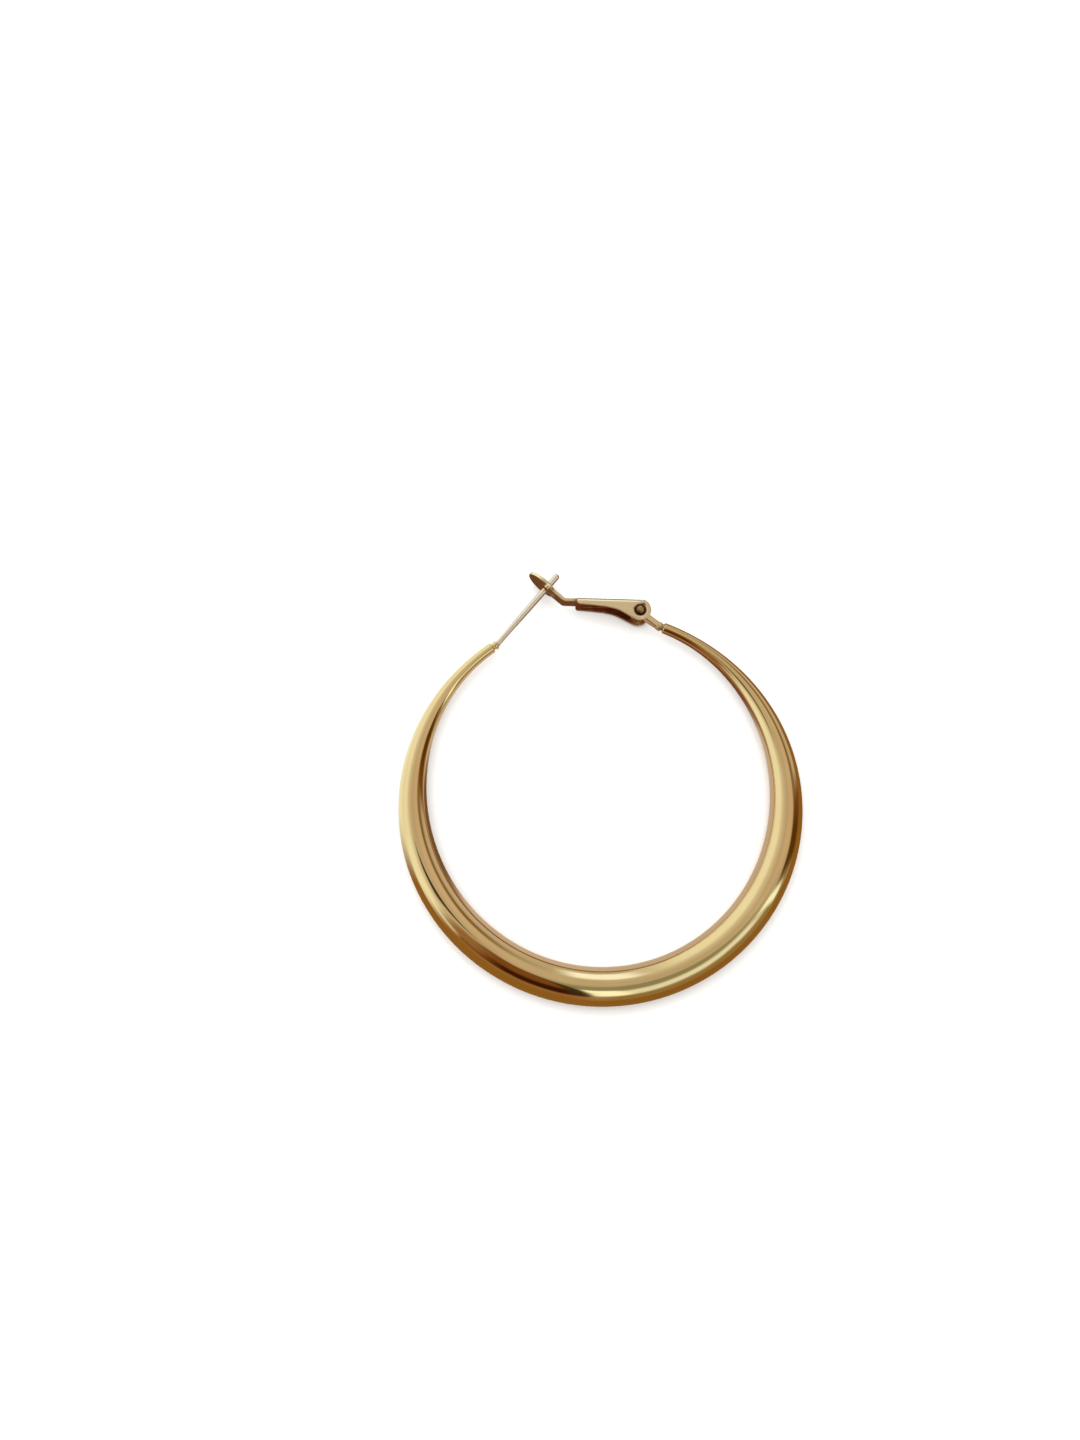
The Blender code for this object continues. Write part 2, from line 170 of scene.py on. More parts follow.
# How the lever's sheet is divided: gaps along its borders and over the rest of it, lines across
# its folds, how far points keep from its borders, and the radii in mm of the rings that carry the
# dish round a rivet
BORDER_GAP = 0.1 * MM
SHEET_GAP = 0.14 * MM
STRIP_GAP = 0.13 * MM
LEAF_FOLD_LINES = 10
SIDE_FOLD_LINES = 12
GUARD = 0.05 * MM
RING_CLEARANCE = 0.035 * MM
GRID_CLEARANCE = 0.045 * MM
DISH = (0.585, 0.62, 0.655, 0.70, 0.78, 0.84, 0.885, 0.92, 0.955, 0.985)

# The cheek's lower edge from the disc to the fold: (along, rise) as shares of the reach and of the
# disc's radius
CHEEK_EDGE = (
    (0.075, -0.86),
    (0.138, -0.64),
    (0.190, -0.43),
    (0.245, -0.23),
    (0.300, -0.06),
    (0.370, 0.08),
    (0.460, 0.19),
    (0.553, 0.26),
    (0.680, 0.33),
    (CHEEK_END_SHARE, 0.40),
)

UP = Vector((0.0, 0.0, 1.0))
EAST = Vector((1.0, 0.0, 0.0))
SAME_PLACE = 0.001 * MM


def heading(angle):
    """The unit vector in the ring's plane at this angle from +X."""
    return Vector((math.cos(angle), math.sin(angle), 0.0))


# The ring's centre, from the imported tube's own box
tube_low, tube_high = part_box("hoop_tube")
CENTRE = Vector((
    (tube_low.x + tube_high.x) / 2.0,
    tube_low.y + HOOP_RADIUS + TUBE_RADIUS,
    (tube_low.z + tube_high.z) / 2.0,
))


def on_ring(angle):
    """The point of the tube's middle line at this angle from its thickest point."""
    return CENTRE + Vector((HOOP_RADIUS * math.sin(angle), -HOOP_RADIUS * math.cos(angle), 0.0))


def tube_radius(angle):
    """The tube's outer radius, fullest at the bottom and easing down to its two ends."""
    share = min(abs(angle) / HALF_SWEEP, 1.0)
    ease = (1.0 + math.cos(math.pi * share**TAPER_POWER)) / 2.0
    return TUBE_END_RADIUS + (TUBE_RADIUS - TUBE_END_RADIUS) * ease


# Where the clasp's parts meet, in the ring's plane
POST_END = on_ring(-HALF_SWEEP)
HINGE_END = on_ring(HALF_SWEEP)
POST_CAP_ANGLE = math.pi - HALF_SWEEP
HINGE_CAP_ANGLE = HALF_SWEEP
POST_ANGLE = POST_CAP_ANGLE + END_KINK
HINGE_NECK_ANGLE = HINGE_CAP_ANGLE - END_KINK
POST_BASE = POST_END + CAP_LENGTH * heading(POST_CAP_ANGLE)
NECK_BASE = HINGE_END + CAP_LENGTH * heading(HINGE_CAP_ANGLE)
HINGE = NECK_BASE + NECK_LENGTH * heading(HINGE_NECK_ANGLE)
CATCH = POST_BASE + CATCH_STATION * heading(POST_ANGLE)
LEAF_ANGLE = POST_ANGLE + math.pi / 2.0
FOLD = CATCH - LEAF_TO_FOLD * heading(LEAF_ANGLE)
STRIP_RISE = DISC_RADIUS - SHEET / 2.0
REACH = math.sqrt((FOLD - HINGE).length ** 2 - STRIP_RISE**2)
STRIP_ANGLE = math.atan2(HINGE.y - FOLD.y, HINGE.x - FOLD.x)
STRIP_ANGLE += math.asin(STRIP_RISE / (FOLD - HINGE).length)


def add_object(name, data):
    """A new object in the scene."""
    made = bpy.data.objects.new(name, data)
    bpy.context.scene.collection.objects.link(made)
    return made


def smooth_piece(name, mesh, sharp):
    """A piece with smooth faces and its edges above the given angle kept sharp."""
    mesh.shade_smooth()
    mesh.set_sharp_from_angle(angle=math.radians(sharp))
    return add_object(name, mesh)


def piece_from(name, points, faces, sharp=50.0):
    """A smooth piece from points and faces, its faces turned outwards."""
    mesh = bpy.data.meshes.new(name)
    mesh.from_pydata(points, [], faces)
    mesh.validate()
    work = bmesh.new()
    work.from_mesh(mesh)
    bmesh.ops.recalc_face_normals(work, faces=work.faces)
    work.to_mesh(mesh)
    work.free()
    return smooth_piece(name, mesh, sharp)


def hoop_of_points(point, side, up, radius, corners):
    """A round section; a radius of nothing gives one point, which closes the end."""
    if radius < SAME_PLACE / 1000.0:
        return [point]
    turns = [2.0 * math.pi * i / corners for i in range(corners)]
    return [point + radius * (math.cos(a) * side + math.sin(a) * up) for a in turns]


def skin(sections, closed=False):
    """Points and faces over a row of sections that have as many corners, or one point, each."""
    points, starts = [], []
    for section in sections:
        starts.append(len(points))
        points += section
    faces = []
    count = len(sections)
    for i in range(count if closed else count - 1):
        j = (i + 1) % count
        a, b = sections[i], sections[j]
        corners = max(len(a), len(b))
        for k in range(corners):
            n = (k + 1) % corners
            low = [starts[i] + k, starts[i] + n] if len(a) > 1 else [starts[i]]
            high = [starts[j] + n, starts[j] + k] if len(b) > 1 else [starts[j]]
            faces.append(low + high)
    return points, faces


def eased(corners, steps=5, most=0.48):
    """Rounds the corners of a line of (x, y, rounding), with at most this share of an edge."""
    line = []
    for i, (x, y, rounding) in enumerate(corners):
        here = Vector((x, y))
        if rounding <= 0.0 or i in (0, len(corners) - 1):
            line.append(here)
            continue
        back = Vector(corners[i - 1][:2]) - here
        ahead = Vector(corners[i + 1][:2]) - here
        half = back.angle(ahead) / 2.0
        reach = min(rounding / math.tan(half), most * back.length, most * ahead.length)
        rounding = reach * math.tan(half)
        back.normalize()
        ahead.normalize()
        middle = here + (back + ahead).normalized() * (rounding / math.sin(half))
        start = here + back * reach - middle
        end = here + ahead * reach - middle
        for k in range(steps + 1):
            spoke = start.lerp(end, k / steps).normalized()
            line.append(middle + rounding * spoke)
    return line


def rod(stations, corners):
    """Sections of a round rod in the ring's plane, from stations of (point, angle, radius)."""
    sections = []
    last = None
    for point, angle, radius in stations:
        if last and (point - last[0]).length < SAME_PLACE and abs(radius - last[1]) < SAME_PLACE:
            continue
        side = heading(angle + math.pi / 2.0)
        sections.append(hoop_of_points(point, side, UP, radius, corners))
        last = (point, radius)
    return sections


def turned(name, rows, closed=False):
    """A piece turned round the hinge's axis, from rows of (radius, height)."""
    side = heading(math.pi / 2.0)
    rings = [hoop_of_points(HINGE + UP * z, EAST, side, r, ROUND_CORNERS) for r, z in rows]
    return piece_from(name, *skin(rings, closed))


def cap_stations(end, angle, inner_end):
    """The turned cap from its plug to its collar, with solder where it meets the tube."""
    line = eased([
        (-PLUG_DEPTH, 0.0, 0.0),
        (-PLUG_DEPTH, PLUG_RADIUS, PLUG_ROUND),
        (-SOLDER_FOOT, PLUG_RADIUS, SOLDER_FOOT),
        (SOLDER_LIFT, SOLDER_INNER, 0.0),
        (SOLDER_LIFT + SAME_PLACE, SOLDER_OUTER, 0.0),
        (SOLDER_TOP, GROOVE_RADIUS, SOLDER_ROUND),
        (GROOVE_LENGTH, GROOVE_RADIUS, GROOVE_ROUND),
        (GROOVE_LENGTH, COLLAR_RADIUS, COLLAR_ROUND),
        (CAP_LENGTH, COLLAR_RADIUS, COLLAR_ROUND),
        (CAP_LENGTH, inner_end, 0.0),
    ])
    return [(end + along * heading(angle), angle, radius) for along, radius in line]


def make_hoop_tube():
    """The hollow tube: outer wall, rounded shoulders at both ends and the bore's wall."""
    def shoulder(side):
        """The rounded end of the wall on one side, as rows of (angle, radius)."""
        rows = eased([
            (-SHOULDER_START, TUBE_END_RADIUS, 0.0),
            (0.0, TUBE_END_RADIUS, SHOULDER),
            (0.0, TUBE_END_RADIUS - TUBE_WALL, LIP),
            (-2.0 * LIP, TUBE_END_RADIUS - TUBE_WALL, 0.0),
        ], steps=8)[1:]
        rows = [(side * (HALF_SWEEP + along / HOOP_RADIUS), radius) for along, radius in rows]
        return rows if side > 0.0 else rows[::-1]

    last_outer = HALF_SWEEP - OUTER_WALL_STOP / HOOP_RADIUS
    last_inner = HALF_SWEEP - BORE_STOP / HOOP_RADIUS
    rows = []
    for i in range(OUTER_STATIONS + 1):
        angle = last_outer * (2.0 * i / OUTER_STATIONS - 1.0)
        rows.append((angle, tube_radius(angle)))
    rows += shoulder(1.0)
    for i in range(INNER_STATIONS + 1):
        angle = last_inner * (1.0 - 2.0 * i / INNER_STATIONS)
        rows.append((angle, tube_radius(angle) - TUBE_WALL))
    rows += shoulder(-1.0)
    sections = []
    for angle, radius in rows:
        out = (on_ring(angle) - CENTRE).normalized()
        sections.append(hoop_of_points(on_ring(angle), out, UP, radius, TUBE_CORNERS))
    points, faces = skin(sections, closed=True)
    return piece_from("gold_hoop", points, faces, sharp=60.0)


def post_bend():
    """The wire's small bend as it leaves the collar, as (point, heading angle)."""
    start, way = POST_BASE, heading(POST_CAP_ANGLE)
    end, end_way = POST_BASE + POST_BEND * heading(POST_ANGLE), heading(POST_ANGLE)
    pull = POST_BEND
    bend = []
    for i in range(BEND_STEPS + 1):
        t = i / BEND_STEPS
        point = (
            (2 * t**3 - 3 * t**2 + 1) * start
            + (t**3 - 2 * t**2 + t) * pull * way
            + (3 * t**2 - 2 * t**3) * end
            + (t**3 - t**2) * pull * end_way
        )
        run = (
            (6 * t**2 - 6 * t) * start
            + (3 * t**2 - 4 * t + 1) * pull * way
            + (6 * t - 6 * t**2) * end
            + (3 * t**2 - 2 * t) * pull * end_way
        )
        bend.append((point, math.atan2(run.y, run.x)))
    return bend


def make_ear_post():
    """The cap and the post wire, soldered into one, with a rounded tip and a notch behind it."""
    stations = cap_stations(POST_END, POST_CAP_ANGLE, POST_RADIUS + POST_FILLET[0])
    for (point, angle), extra in zip_longest(post_bend(), POST_FILLET, fillvalue=0.0):
        stations.append((point, angle, POST_RADIUS + extra))
    notch = POST_LENGTH - NOTCH_FROM_TIP
    notch_end = notch + NOTCH_WIDTH
    rows = []
    for i in range(1, STRAIGHT_STEPS):
        run = notch - NOTCH_WIDTH - POST_BEND
        rows.append((POST_BEND + run * i / STRAIGHT_STEPS, POST_RADIUS))
    for i in range(NOTCH_STEPS + 1):
        share = 2.0 * i / NOTCH_STEPS - 1.0
        dip = NOTCH_DEPTH * (1.0 + math.cos(math.pi * share)) / 2.0
        rows.append((notch + share * NOTCH_WIDTH, POST_RADIUS - dip))
    for i in range(1, TIP_STEPS):
        run = POST_LENGTH - POST_TIP_ROUND - notch - NOTCH_WIDTH
        rows.append((notch_end + run * i / TIP_STEPS, POST_RADIUS))
    for i in range(ARC_STEPS + 1):
        turn = math.pi / 2.0 * i / ARC_STEPS
        along = POST_LENGTH - POST_TIP_ROUND * (1.0 - math.sin(turn))
        rows.append((along, POST_RADIUS * math.cos(turn) if i < ARC_STEPS else 0.0))
    way = heading(POST_ANGLE)
    stations += [(POST_BASE + way * along, POST_ANGLE, radius) for along, radius in rows]
    return piece_from("ear_wire", *skin(rod(stations, CAP_CORNERS)))


def rounded_block(point, side, half_width, half_height, rounding, steps=5):
    """A section with straight sides and rounded corners, across the neck."""
    section = []
    for quarter in range(4):
        right = 1.0 if quarter in (0, 3) else -1.0
        top = 1.0 if quarter in (0, 1) else -1.0
        for k in range(steps + 1):
            turn = math.pi / 2.0 * (quarter + k / steps)
            across = right * (half_width - rounding) + rounding * math.cos(turn)
            rise = top * (half_height - rounding) + rounding * math.sin(turn)
            section.append(point + across * side + rise * UP)
    return section


def joined(name, solids, sharp):
    """Several closed shapes united into one piece, as solder does."""
    first = solids[0]
    for other in solids[1:]:
        union = first.modifiers.new(other.name, "BOOLEAN")
        union.operation = "UNION"
        union.solver = "EXACT"
        union.object = other
    bpy.context.view_layer.update()
    united = first.evaluated_get(bpy.context.evaluated_depsgraph_get())
    mesh = bpy.data.meshes.new_from_object(united)
    for solid in solids:
        bpy.data.objects.remove(solid, do_unlink=True)
    mesh.name = name
    return smooth_piece(name, mesh, sharp)


def make_hinge_lug():
    """The cap on the other end, its flared neck, and the round eye that the rivet goes through."""
    cap = cap_stations(HINGE_END, HINGE_CAP_ANGLE, LUG_COLLAR_INNER)
    cap.append((NECK_BASE, HINGE_CAP_ANGLE, 0.0))
    collar = piece_from("lug_collar", *skin(rod(cap, CAP_CORNERS)))

    side = heading(HINGE_NECK_ANGLE + math.pi / 2.0)
    neck_end = NECK_LENGTH - NECK_IN_EYE
    flare = NECK_HEIGHT_AT_EYE - NECK_HEIGHT_AT_COLLAR
    sections = []
    for i in range(NECK_STEPS + 1):
        part = (i / NECK_STEPS) ** NECK_CROWDING
        along = -NECK_IN_COLLAR + (neck_end + NECK_IN_COLLAR) * part
        clear = max(along, 0.0)
        solder = NECK_SOLDER * max(0.0, 1.0 - clear / NECK_SOLDER_LENGTH) ** 2
        width = NECK_WIDTH / 2.0 + solder
        height = (NECK_HEIGHT_AT_COLLAR + flare * (clear / NECK_LENGTH)) / 2.0
        height += solder * NECK_SOLDER_RISE
        point = NECK_BASE + along * heading(HINGE_NECK_ANGLE)
        sections.append(rounded_block(point, side, width, height, NECK_ROUND))
    first, last = (sum(ends, Vector()) / len(ends) for ends in (sections[0], sections[-1]))
    neck = piece_from("lug_neck", *skin([[first], *sections, [last]]))

    eye = turned("lug_eye", eased([
        (BORE_RADIUS, 0.0, 0.0),
        (BORE_RADIUS, EYE_HALF, BORE_ROUND),
        (EYE_RADIUS, EYE_HALF, EYE_ROUND),
        (EYE_RADIUS, -EYE_HALF, EYE_ROUND),
        (BORE_RADIUS, -EYE_HALF, BORE_ROUND),
        (BORE_RADIUS, -SAME_PLACE, 0.0),
    ]), closed=True)
    return joined("hinge_knuckle", [collar, neck, eye], sharp=40.0)


def make_hinge_pin():
    """The rivet: a plain shank with a domed, peened head sunk in each cheek."""
    face = CHANNEL_WIDTH / 2.0
    top = face + HEAD_PROUD
    under = face - HEAD_UNDER
    rim = under + HEAD_RIM
    upper = []
    for i in range(ARC_STEPS + 1):
        turn = math.pi / 2.0 * i / ARC_STEPS
        upper.append((HEAD_RADIUS * math.sin(turn), rim + (top - rim) * math.cos(turn)))
    side, foot = (HEAD_RADIUS - tuck for tuck in HEAD_TUCK)
    upper += [(side, under + HEAD_EDGE), (foot, under)]
    upper += [(PIN_RADIUS + HEAD_EDGE, under), (PIN_RADIUS, under - HEAD_EDGE)]
    lower = [(r, -z) for r, z in reversed(upper)]
    return turned("hinge_rivet", [*upper, (PIN_RADIUS, 0.0), *lower])


# The lever's flat sheet. A point on it is (along, across): along runs from the hinge to the
# leaf's tip, and across from the sheet's middle line.
STRIP_HALF = CHANNEL_WIDTH / 2.0 - SHEET / 2.0 - SIDE_FOLD
SIDE_FOLD_LENGTH = SIDE_FOLD * math.pi / 2.0
CHEEK_START = STRIP_HALF + SIDE_FOLD_LENGTH
CHEEK_TOP = STRIP_RISE - SIDE_FOLD
FOLD_TURN = math.pi - (LEAF_ANGLE - STRIP_ANGLE)
FOLD_SETBACK = LEAF_FOLD * math.tan(FOLD_TURN / 2.0)
FOLD_LENGTH = LEAF_FOLD * FOLD_TURN
FOLD_START = REACH - FOLD_SETBACK
CATCH_ALONG = FOLD_START + FOLD_LENGTH + LEAF_TO_FOLD - FOLD_SETBACK
CHEEKS_END = REACH * CHEEK_END_SHARE
HOLE_ACROSS = CHEEK_START + CHEEK_TOP
HOLES = (Vector((0.0, HOLE_ACROSS)), Vector((0.0, -HOLE_ACROSS)))


def flat(x, y):
    """Where a point of the cheek, given from the hinge, lies on the sheet."""
    return (-x, HOLE_ACROSS - y)


def through(points, steps):
    """A smooth line through the points."""
    line = []
    for i in range(len(points) - 1):
        a = Vector(points[max(i - 1, 0)])
        b = Vector(points[i])
        c = Vector(points[i + 1])
        d = Vector(points[min(i + 2, len(points) - 1)])
        for k in range(steps):
            t = k / steps
            bend = (2 * a - 5 * b + 4 * c - d) * t**2
            twist = (3 * b - a - 3 * c + d) * t**3
            line.append(0.5 * (2 * b + (c - a) * t + bend + twist))
    line.append(Vector(points[-1]))
    return line


def half_blank():
    """Half of the sheet's outline, from the leaf's tip round to the channel's mouth."""
    long_half = LEAF_TO_TIP - LEAF_CENTRE
    shoulder = math.pi - math.asin(LEAF_NECK_HALF / LEAF_HALF)
    leaf = []
    for i in range(LEAF_STEPS + 1):
        turn = shoulder * i / LEAF_STEPS
        along = CATCH_ALONG + LEAF_CENTRE + long_half * math.cos(turn)
        leaf.append((along, LEAF_HALF * math.sin(turn), 0.0))
    leaf[-1] = (*leaf[-1][:2], LEAF_CORNER)
    edge = [flat(-REACH * along, DISC_RADIUS * rise) for along, rise in reversed(CHEEK_EDGE)]
    slit_far = MOUTH + MOUTH_SLIT
    disc_sweep = math.acos(slit_far / DISC_RADIUS) - DISC_FIRST_TURN
    disc = []
    for i in range(DISC_STEPS + 1):
        turn = DISC_FIRST_TURN + disc_sweep * i / DISC_STEPS
        disc.append(flat(DISC_RADIUS * math.cos(turn), DISC_RADIUS * math.sin(turn)))
    lower = through([*edge, disc[0]], steps=4)
    slit_end = CHEEK_START + SLIT_FOOT
    corners = [
        *leaf,
        (CHEEKS_END + CORNER_PAST_CHEEKS, LEAF_NECK_HALF, STRIP_CORNER),
        (*lower[0], CHEEK_CORNER),
        *[(*point, 0.0) for point in lower[3:-1] + disc[:-2]],
        (*disc[-1], DISC_CORNER),
        (-slit_far, slit_end, SLIT_CORNER),
        (-MOUTH, slit_end, SLIT_CORNER),
        (-MOUTH, 0.0, 0.0),
    ]
    return eased(corners, steps=6)


def divided(loop, gap):
    """The closed loop with its long edges divided."""
    line = []
    for i, here in enumerate(loop):
        ahead = loop[(i + 1) % len(loop)]
        steps = max(1, math.ceil((ahead - here).length / gap))
        line += [here.lerp(ahead, k / steps) for k in range(steps)]
    return line


def inset(loop, distance):
    """The closed loop moved this far into the sheet, which lies on its left."""
    moved = []
    for i, here in enumerate(loop):
        before = (here - loop[i - 1]).normalized()
        after = (loop[(i + 1) % len(loop)] - here).normalized()
        left = Vector((-(before.y + after.y), before.x + after.x)).normalized()
        slant = max(0.5, left.dot(Vector((-before.y, before.x))))
        moved.append(here + left * (distance / slant))
    return moved


def clean_loop(points):
    """The closed loop without doubled points, turning to the left."""
    close = 4.0 * SAME_PLACE
    loop = []
    for point in points:
        if not loop or (point - loop[-1]).length > close:
            loop.append(point)
    if (loop[0] - loop[-1]).length < close:
        loop.pop()
    area = sum(loop[i - 1].cross(loop[i]) for i in range(len(loop)))
    return loop if area > 0.0 else loop[::-1]


def on_sheet(places, loops):
    """Which of the places (rows of x and y) lie inside the outline and in none of its holes."""
    x, y = places[:, 0], places[:, 1]
    inside = np.zeros(len(places), bool)
    for loop in loops:
        for i, b in enumerate(loop):
            a = loop[i - 1]
            if a.y != b.y:
                spans = (a.y > y) != (b.y > y)
                inside ^= spans & (x < (b.x - a.x) * (y - a.y) / (b.y - a.y) + a.x)
    return inside


def circle(centre, radius, corners):
    """Points of a circle on the sheet, turning to the left."""
    turns = [2 * math.pi * i / corners for i in range(corners)]
    return [centre + radius * Vector((math.cos(turn), math.sin(turn))) for turn in turns]


def blank_loops():
    """The blank's outline, and its slot and two rivet holes as loops that turn the other way."""
    half = half_blank()
    other = [Vector((p.x, -p.y)) for p in reversed(half)]
    outline = divided(clean_loop(half + other), BORDER_GAP)
    slot = []
    for middle, start in ((CATCH_ALONG, -math.pi / 2.0), (CATCH_ALONG - SLOT_BACK, math.pi / 2.0)):
        for i in range(SLOT_STEPS + 1):
            turn = start + math.pi * i / SLOT_STEPS
            slot.append(Vector((middle + SLOT_HALF * math.cos(turn), SLOT_HALF * math.sin(turn))))
    slot = divided(clean_loop(slot), BORDER_GAP)[::-1]
    holes = [circle(middle, BORE_RADIUS, HOLE_CORNERS)[::-1] for middle in HOLES]
    return outline, [slot, *holes]


def recess_depth(point):
    """How far the sheet's outer face is sunk round a rivet head."""
    away = min((point - middle).length for middle in HOLES)
    share = (away - RECESS_FLOOR) / (RECESS_RIM - RECESS_FLOOR)
    soft = RECESS_SOFTNESS
    if share <= -soft:
        return RECESS_DEPTH
    if share >= 1.0 + soft:
        return 0.0
    if share < soft:
        return RECESS_DEPTH * (1.0 - (share + soft) ** 2 / (4.0 * soft))
    if share > 1.0 - soft:
        return RECESS_DEPTH * (1.0 + soft - share) ** 2 / (4.0 * soft)
    return RECESS_DEPTH * (1.0 - share)


def sheet_lines(stops):
    """Grid lines from stops of (position, gap up to the next stop)."""
    lines = []
    for (start, gap), (end, _) in zip(stops, stops[1:]):
        steps = max(1, round((end - start) / gap))
        lines += [start + (end - start) * i / steps for i in range(steps)]
    lines.append(stops[-1][0])
    return lines


def clear_points(points, borders, loops, gap):
    """Those points that lie on the sheet, further than the gap from every point of the loops."""
    taken = [point for loop in loops for point in loop]
    tree = KDTree(len(taken))
    for index, point in enumerate(taken):
        tree.insert((*point, 0.0), index)
    tree.balance()
    good = on_sheet(np.array([tuple(point) for point in points]), borders)
    inside = [point for point, kept in zip(points, good) if kept]
    return [point for point in inside if tree.find((*point, 0.0))[2] > gap]


def walled_in(made, triangles, borders, place_of):
    """The triangles reached without crossing a border, from one that is sure to be on the sheet."""
    walls = set()
    first = 0
    for loop in borders:
        spots = [place_of[first + i] for i in range(len(loop))]
        walls |= {frozenset((spots[i - 1], spots[i])) for i in range(len(spots))}
        first += len(loop)
    beside = {}
    for index, face in enumerate(triangles):
        for i in range(3):
            beside.setdefault(frozenset((face[i - 1], face[i])), []).append(index)
    middles = np.array([tuple((made[a] + made[b] + made[c]) / 3.0) for a, b, c in triangles])
    good = on_sheet(middles, borders)
    sizes = [abs((made[b] - made[a]).cross(made[c] - made[a])) for a, b, c in triangles]
    start = max((i for i in range(len(triangles)) if good[i]), key=lambda i: sizes[i])
    reached, waiting = {start}, [start]
    while waiting:
        face = triangles[waiting.pop()]
        for i in range(3):
            side = frozenset((face[i - 1], face[i]))
            if side in walls:
                continue
            for index in beside[side]:
                if index not in reached:
                    reached.add(index)
                    waiting.append(index)
    return [triangles[index] for index in sorted(reached)]


def grid_points():
    """Points all over the flat sheet, closer together where it will be folded."""
    along = sheet_lines([
        (-DISC_RADIUS, SHEET_GAP),
        (FOLD_START, FOLD_LENGTH / LEAF_FOLD_LINES),
        (FOLD_START + FOLD_LENGTH, SHEET_GAP),
        (CATCH_ALONG + LEAF_TO_TIP, 0.0),
    ])
    half = sheet_lines([
        (0.0, STRIP_GAP),
        (STRIP_HALF, SIDE_FOLD_LENGTH / SIDE_FOLD_LINES),
        (CHEEK_START, SHEET_GAP),
        (HOLE_ACROSS + DISC_RADIUS, 0.0),
    ])
    across = [*(-y for y in reversed(half[1:])), *half]
    return [Vector((x, y)) for x in along for y in across]


def folded(along, across, rise):
    """Where a point of the sheet lies once it is folded; rise is its height over the middle."""
    side = 1.0 if across >= 0.0 else -1.0
    wide = abs(across)
    with_cheeks = along < CHEEKS_END + FOLDS_PAST_CHEEKS
    if with_cheeks and (along < -MOUTH - MOUTH_SLIT / 2.0 or wide > CHEEK_START):
        height = HOLE_ACROSS - wide
        level = side * (STRIP_HALF + SIDE_FOLD + rise)
    elif with_cheeks and wide > STRIP_HALF:
        turn = (wide - STRIP_HALF) / SIDE_FOLD
        height = CHEEK_TOP + (SIDE_FOLD + rise) * math.cos(turn)
        level = side * (STRIP_HALF + (SIDE_FOLD + rise) * math.sin(turn))
    else:
        height = STRIP_RISE + rise
        level = across
    if along <= FOLD_START:
        return Vector((-along, height, level))
    turn = min((along - FOLD_START) / LEAF_FOLD, FOLD_TURN)
    past = max(0.0, along - FOLD_START - FOLD_LENGTH)
    lift = height - STRIP_RISE
    x = -FOLD_START - (LEAF_FOLD - lift) * math.sin(turn) - past * math.cos(turn)
    y = STRIP_RISE + LEAF_FOLD - (LEAF_FOLD - lift) * math.cos(turn) + past * math.sin(turn)
    return Vector((x, y, level))


def make_clip_lever():
    """The lever, cut as a flat sheet with eased edges and folded into its channel and leaf."""
    outline, holes = blank_loops()
    loops = [outline, *holes]
    half = SHEET / 2.0
    edge_insets = [SHEET_EDGE * (1.0 - math.cos(turn)) for turn in EDGE_TURNS]
    rims = [[inset(loop, distance) for distance in edge_insets] for loop in loops]
    borders = [rim[-1] for rim in rims]
    guards = [inset(loop, SHEET_EDGE + GUARD) for loop in loops]
    walls = [*borders, *guards]
    rings = [circle(middle, radius * MM, ROUND_CORNERS) for middle in HOLES for radius in DISH]
    ring_points = [point for ring in rings for point in ring]
    dimples = clear_points(ring_points, borders, walls, RING_CLEARANCE)
    loose = clear_points(grid_points(), borders, [*walls, *rings], GRID_CLEARANCE)
    flat_points, edges = [], []
    for loop in walls:
        first = len(flat_points)
        flat_points += loop
        edges += [(first + i, first + (i + 1) % len(loop)) for i in range(len(loop))]
    flat_points += dimples + loose
    scaled = [point / MM for point in flat_points]
    made, _, triangles, origins, _, _ = delaunay_2d_cdt(scaled, edges, [], 0, 1e-6)
    made = [Vector(point) * MM for point in made]
    place_of = {original: index for index, source in enumerate(origins) for original in source}
    kept = walled_in(made, triangles, borders, place_of)

    points, faces = [], []
    used = sorted({i for face in kept for i in face})
    outer, inner = {}, {}
    for i in used:
        sunk = recess_depth(made[i])
        outer[i] = len(points)
        points.append(folded(made[i].x, made[i].y, half - sunk))
        inner[i] = len(points)
        points.append(folded(made[i].x, made[i].y, -half))
    for face in kept:
        faces.append([outer[i] for i in face])
        faces.append([inner[i] for i in reversed(face)])

    first = 0
    for loop, rim in zip(loops, rims):
        count = len(loop)
        rows = [[outer[place_of[first + i]] for i in range(count)]]
        for outwards, step in ((1, 2), (1, 1), (1, 0), (0, 0), (0, 1), (0, 2)):
            rows.append(list(range(len(points), len(points) + count)))
            level = half - SHEET_EDGE * (1.0 - math.sin(EDGE_TURNS[step]))
            for point, corner in zip(rim[step], loop):
                rise = level - recess_depth(corner) if outwards else -level
                points.append(folded(point.x, point.y, rise))
        rows.append([inner[place_of[first + i]] for i in range(count)])
        for upper, lower in zip(rows, rows[1:]):
            for i in range(count):
                n = (i + 1) % count
                faces.append([upper[i], lower[i], lower[n], upper[n]])
        first += count
    stand = Matrix.Translation(HINGE) @ Matrix.Rotation(STRIP_ANGLE, 4, "Z")
    return piece_from("catch_lever", [stand @ point for point in points], faces, sharp=60.0)


def add_group(name, inputs, outputs):
    """An empty node group. Its inputs and outputs are numbers, or colours if given as colours."""
    group = bpy.data.node_groups.new(name, "ShaderNodeTree")
    for way, sockets in (("INPUT", inputs), ("OUTPUT", outputs)):
        for label, value in sockets.items():
            colour = isinstance(value, tuple)
            kind = "NodeSocketColor" if colour else "NodeSocketFloat"
            socket = group.interface.new_socket(name=label, in_out=way, socket_type=kind)
            socket.default_value = (*value, 1.0) if colour else value
    return group, group.nodes.new("NodeGroupInput"), group.nodes.new("NodeGroupOutput")


